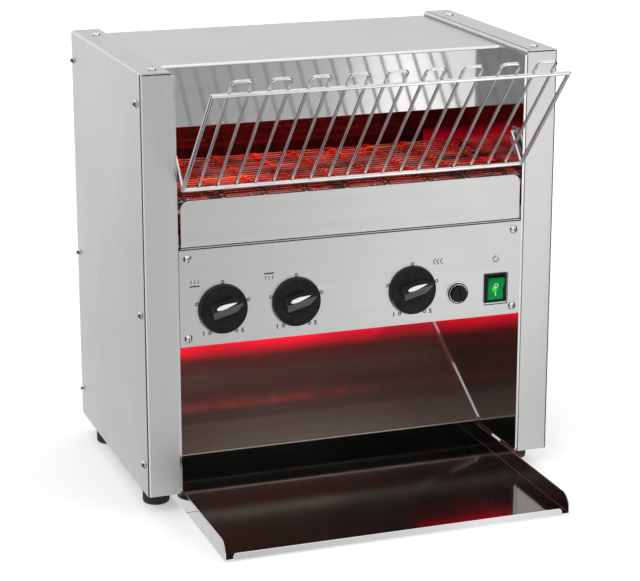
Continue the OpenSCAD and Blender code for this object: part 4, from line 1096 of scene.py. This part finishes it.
class TOASTER_OT_stage(ToasterStep):
    """Lay the floor, set the lamps and the camera"""

    bl_idname = "toaster.stage"
    bl_label = "Stage"

    # Name, place, what it aims at, width, height, watts and colour
    lamps = (
        ("key_softbox", (-1.6, -1.7, 2.3), (0, 0, 0.25), 1.6, 1.6, 26, (1, 0.99, 0.97)),
        ("fill_softbox", (1.9, -1.9, 1.2), (0, 0, 0.2), 1.2, 1.8, 16, (0.98, 0.99, 1)),
        ("top_softbox", (0.2, 0.6, 2.4), (0, 0, 0.3), 1.8, 1.2, 14, (1, 1, 1)),
    )

    def execute(self, context):
        scene = context.scene
        scene.view_settings.view_transform = "Standard"

        floor = start("plane", "floor", (0, 3, 0), (0, 0, 0), size=14)
        set_in(floor)
        pick(floor, lambda e: all(v.co.y > 9 for v in e.verts), "EDGE")
        bpy.ops.mesh.extrude_edges_move(TRANSFORM_OT_translate={"value": (0, 0, 7)})
        put_down()
        floor.data.materials.append(self.floor_finish())
        self.set_world(scene)
        for name, place, aim, wide, tall, energy, colour in self.lamps:
            bpy.ops.object.light_add(type="AREA", location=place)
            lamp = dress(bpy.context.object, name=name, visible_glossy=False)
            dress(
                lamp.data, shape="RECTANGLE", size=wide, size_y=tall, energy=energy, color=colour)
            lamp.rotation_euler = (Vector(aim) - Vector(place)).to_track_quat("-Z", "Y").to_euler()

        bpy.ops.object.camera_add(
            location=(-0.6966, -1.9329, 0.7699),
            rotation=(radians(90 - 15.938), 0, radians(-19.614)))
        scene.camera = dress(bpy.context.object, name="camera")
        dress(scene.camera.data, lens=122.2, sensor_width=36, clip_end=60)
        put_down()
        return {"FINISHED"}

    def floor_finish(self):
        """Pale floor: white to the camera and in reflections, with the object's soft shadow."""
        material = bpy.data.materials.new("Pale floor")
        material.use_nodes = True
        floor = Nodes(material.node_tree)
        shader = floor.tree.nodes["Principled BSDF"]
        shader.inputs["Base Color"].default_value = (0.86, 0.86, 0.86, 1)
        cloud = floor.add("TexNoise", {"Scale": 3.0})["Fac"]
        floor.put(floor.spread(cloud, 0, 1, 0.85, 0.95), shader.inputs["Roughness"])

        # Reflections see it brighten towards the right front, as under a side softbox, and at the
        # back. A dark flag beyond each side of the case draws a line into every rounded fold
        place = floor.add("NewGeometry")["Position"]
        spot = floor.axes(place)
        across = floor.plus(spot["X"], floor.times(spot["Y"], 0.365))
        rise = floor.plus(
            floor.spread(across, -0.22, -0.03, 0.74, 0.98), floor.spread(across, -0.03, 0.12, 0.0, 0.66))
        beside = floor.size_of(floor.plus(spot["Y"], 0.075))
        near = floor.spread(beside, 0.15, 1.2, 1.14, 1.0)
        far = floor.spread(spot["Y"], -1.35, -0.25, 1.38, 0.62)
        far = floor.times(floor.math("SUBTRACT", far, near), floor.spread(across, 0.0, 0.12))
        outside = floor.math("SUBTRACT", floor.size_of(spot["X"]), 0.2)
        flag = floor.math("DIVIDE", beside, floor.math("MAXIMUM", outside, 0.001))
        mirrored = floor.times(
            rise, floor.plus(near, far), floor.spread(across, 0.17, 0.25, 1.0, 0.7),
            floor.spread(spot["Y"], 0.5, 3.0, 1.0, 1.38), floor.spread(flag, 0.8, 0.5, 1.0, 0.06))

        seen = floor.add("LightPath")
        pale = floor.spread(floor.distance(place), 0.7, 2.5, 0.36, 0.7)
        both = floor.add(
            "AddShader", {0: shader.outputs[0], 1: floor.add("Emission", {"Strength": pale})[0]})
        lit = floor.math("MAXIMUM", seen["Is Camera Ray"], seen["Is Transmission Ray"])
        sheen = floor.add("Emission", {"Strength": mirrored})
        choice = floor.mix(seen["Is Glossy Ray"], floor.mix(lit, shader.outputs, both), sheen)
        floor.put(choice[0], floor.tree.nodes["Material Output"].inputs["Surface"])
        return material

    def set_world(self, scene):
        """Pale surroundings, brighter overhead, and white to the camera."""
        scene.world = bpy.data.worlds.new("Studio")
        scene.world.use_nodes = True
        world = Nodes(scene.world.node_tree)
        world.tree.nodes.clear()
        way = world.axes(world.add("TexCoord")["Generated"])
        tones = world.blend(world.spread(way["Z"], -0.1, 0.9), (0.745, 0.745, 0.755), 1.0)
        # The dark flags at both sides reach up past the case
        flag = world.spread(world.size_of(way["X"]), 0.70, 0.80)
        shown = world.add("Background", {"Color": world.blend(flag, tones, 0.06)})
        soft = world.add("Background", {"Color": (1, 1, 1, 1), "Strength": 0.55})
        white = world.add("Background", {"Color": (1, 1, 1, 1)})
        seen = world.add("LightPath")
        shiny = world.math("MAXIMUM", seen["Is Glossy Ray"], seen["Is Transmission Ray"])
        last = world.mix(seen["Is Camera Ray"], world.mix(shiny, soft, shown), white)
        world.put(last[0], world.tree.nodes.new("ShaderNodeOutputWorld").inputs["Surface"])


STEPS = (
    TOASTER_OT_finishes, TOASTER_OT_edges, TOASTER_OT_belt, TOASTER_OT_elements,
    TOASTER_OT_pointers, TOASTER_OT_dials, TOASTER_OT_switch_marks, TOASTER_OT_panel_hem,
    TOASTER_OT_stage,
)


class TOASTER_PT_panel(bpy.types.Panel):
    """Steps, sizes and colours of the toaster"""

    bl_idname = "TOASTER_PT_panel"
    bl_label = "Conveyor toaster"
    bl_space_type = "VIEW_3D"
    bl_region_type = "UI"
    bl_category = "Toaster"

    def draw(self, context):
        column = self.layout.column(align=True)
        for step in STEPS:
            column.operator(step.bl_idname)
        for group in (context.scene.toaster_sizes, context.scene.toaster_colours):
            box = self.layout.box()
            for name in group.bl_rna.properties.keys():
                if name not in ("rna_type", "name"):
                    box.prop(group, name)


CLASSES = (ToasterSizes, ToasterColours, *STEPS, TOASTER_PT_panel)


def register():
    for each in CLASSES:
        bpy.utils.register_class(each)
    bpy.types.Scene.toaster_sizes = bpy.props.PointerProperty(type=ToasterSizes)
    bpy.types.Scene.toaster_colours = bpy.props.PointerProperty(type=ToasterColours)


def unregister():
    del bpy.types.Scene.toaster_colours
    del bpy.types.Scene.toaster_sizes
    for each in reversed(CLASSES):
        bpy.utils.unregister_class(each)


def main():
    register()
    put_down()
    for step in STEPS:
        group, action = step.bl_idname.split(".")
        getattr(getattr(bpy.ops, group), action)()


if __name__ == "__main__":
    main()
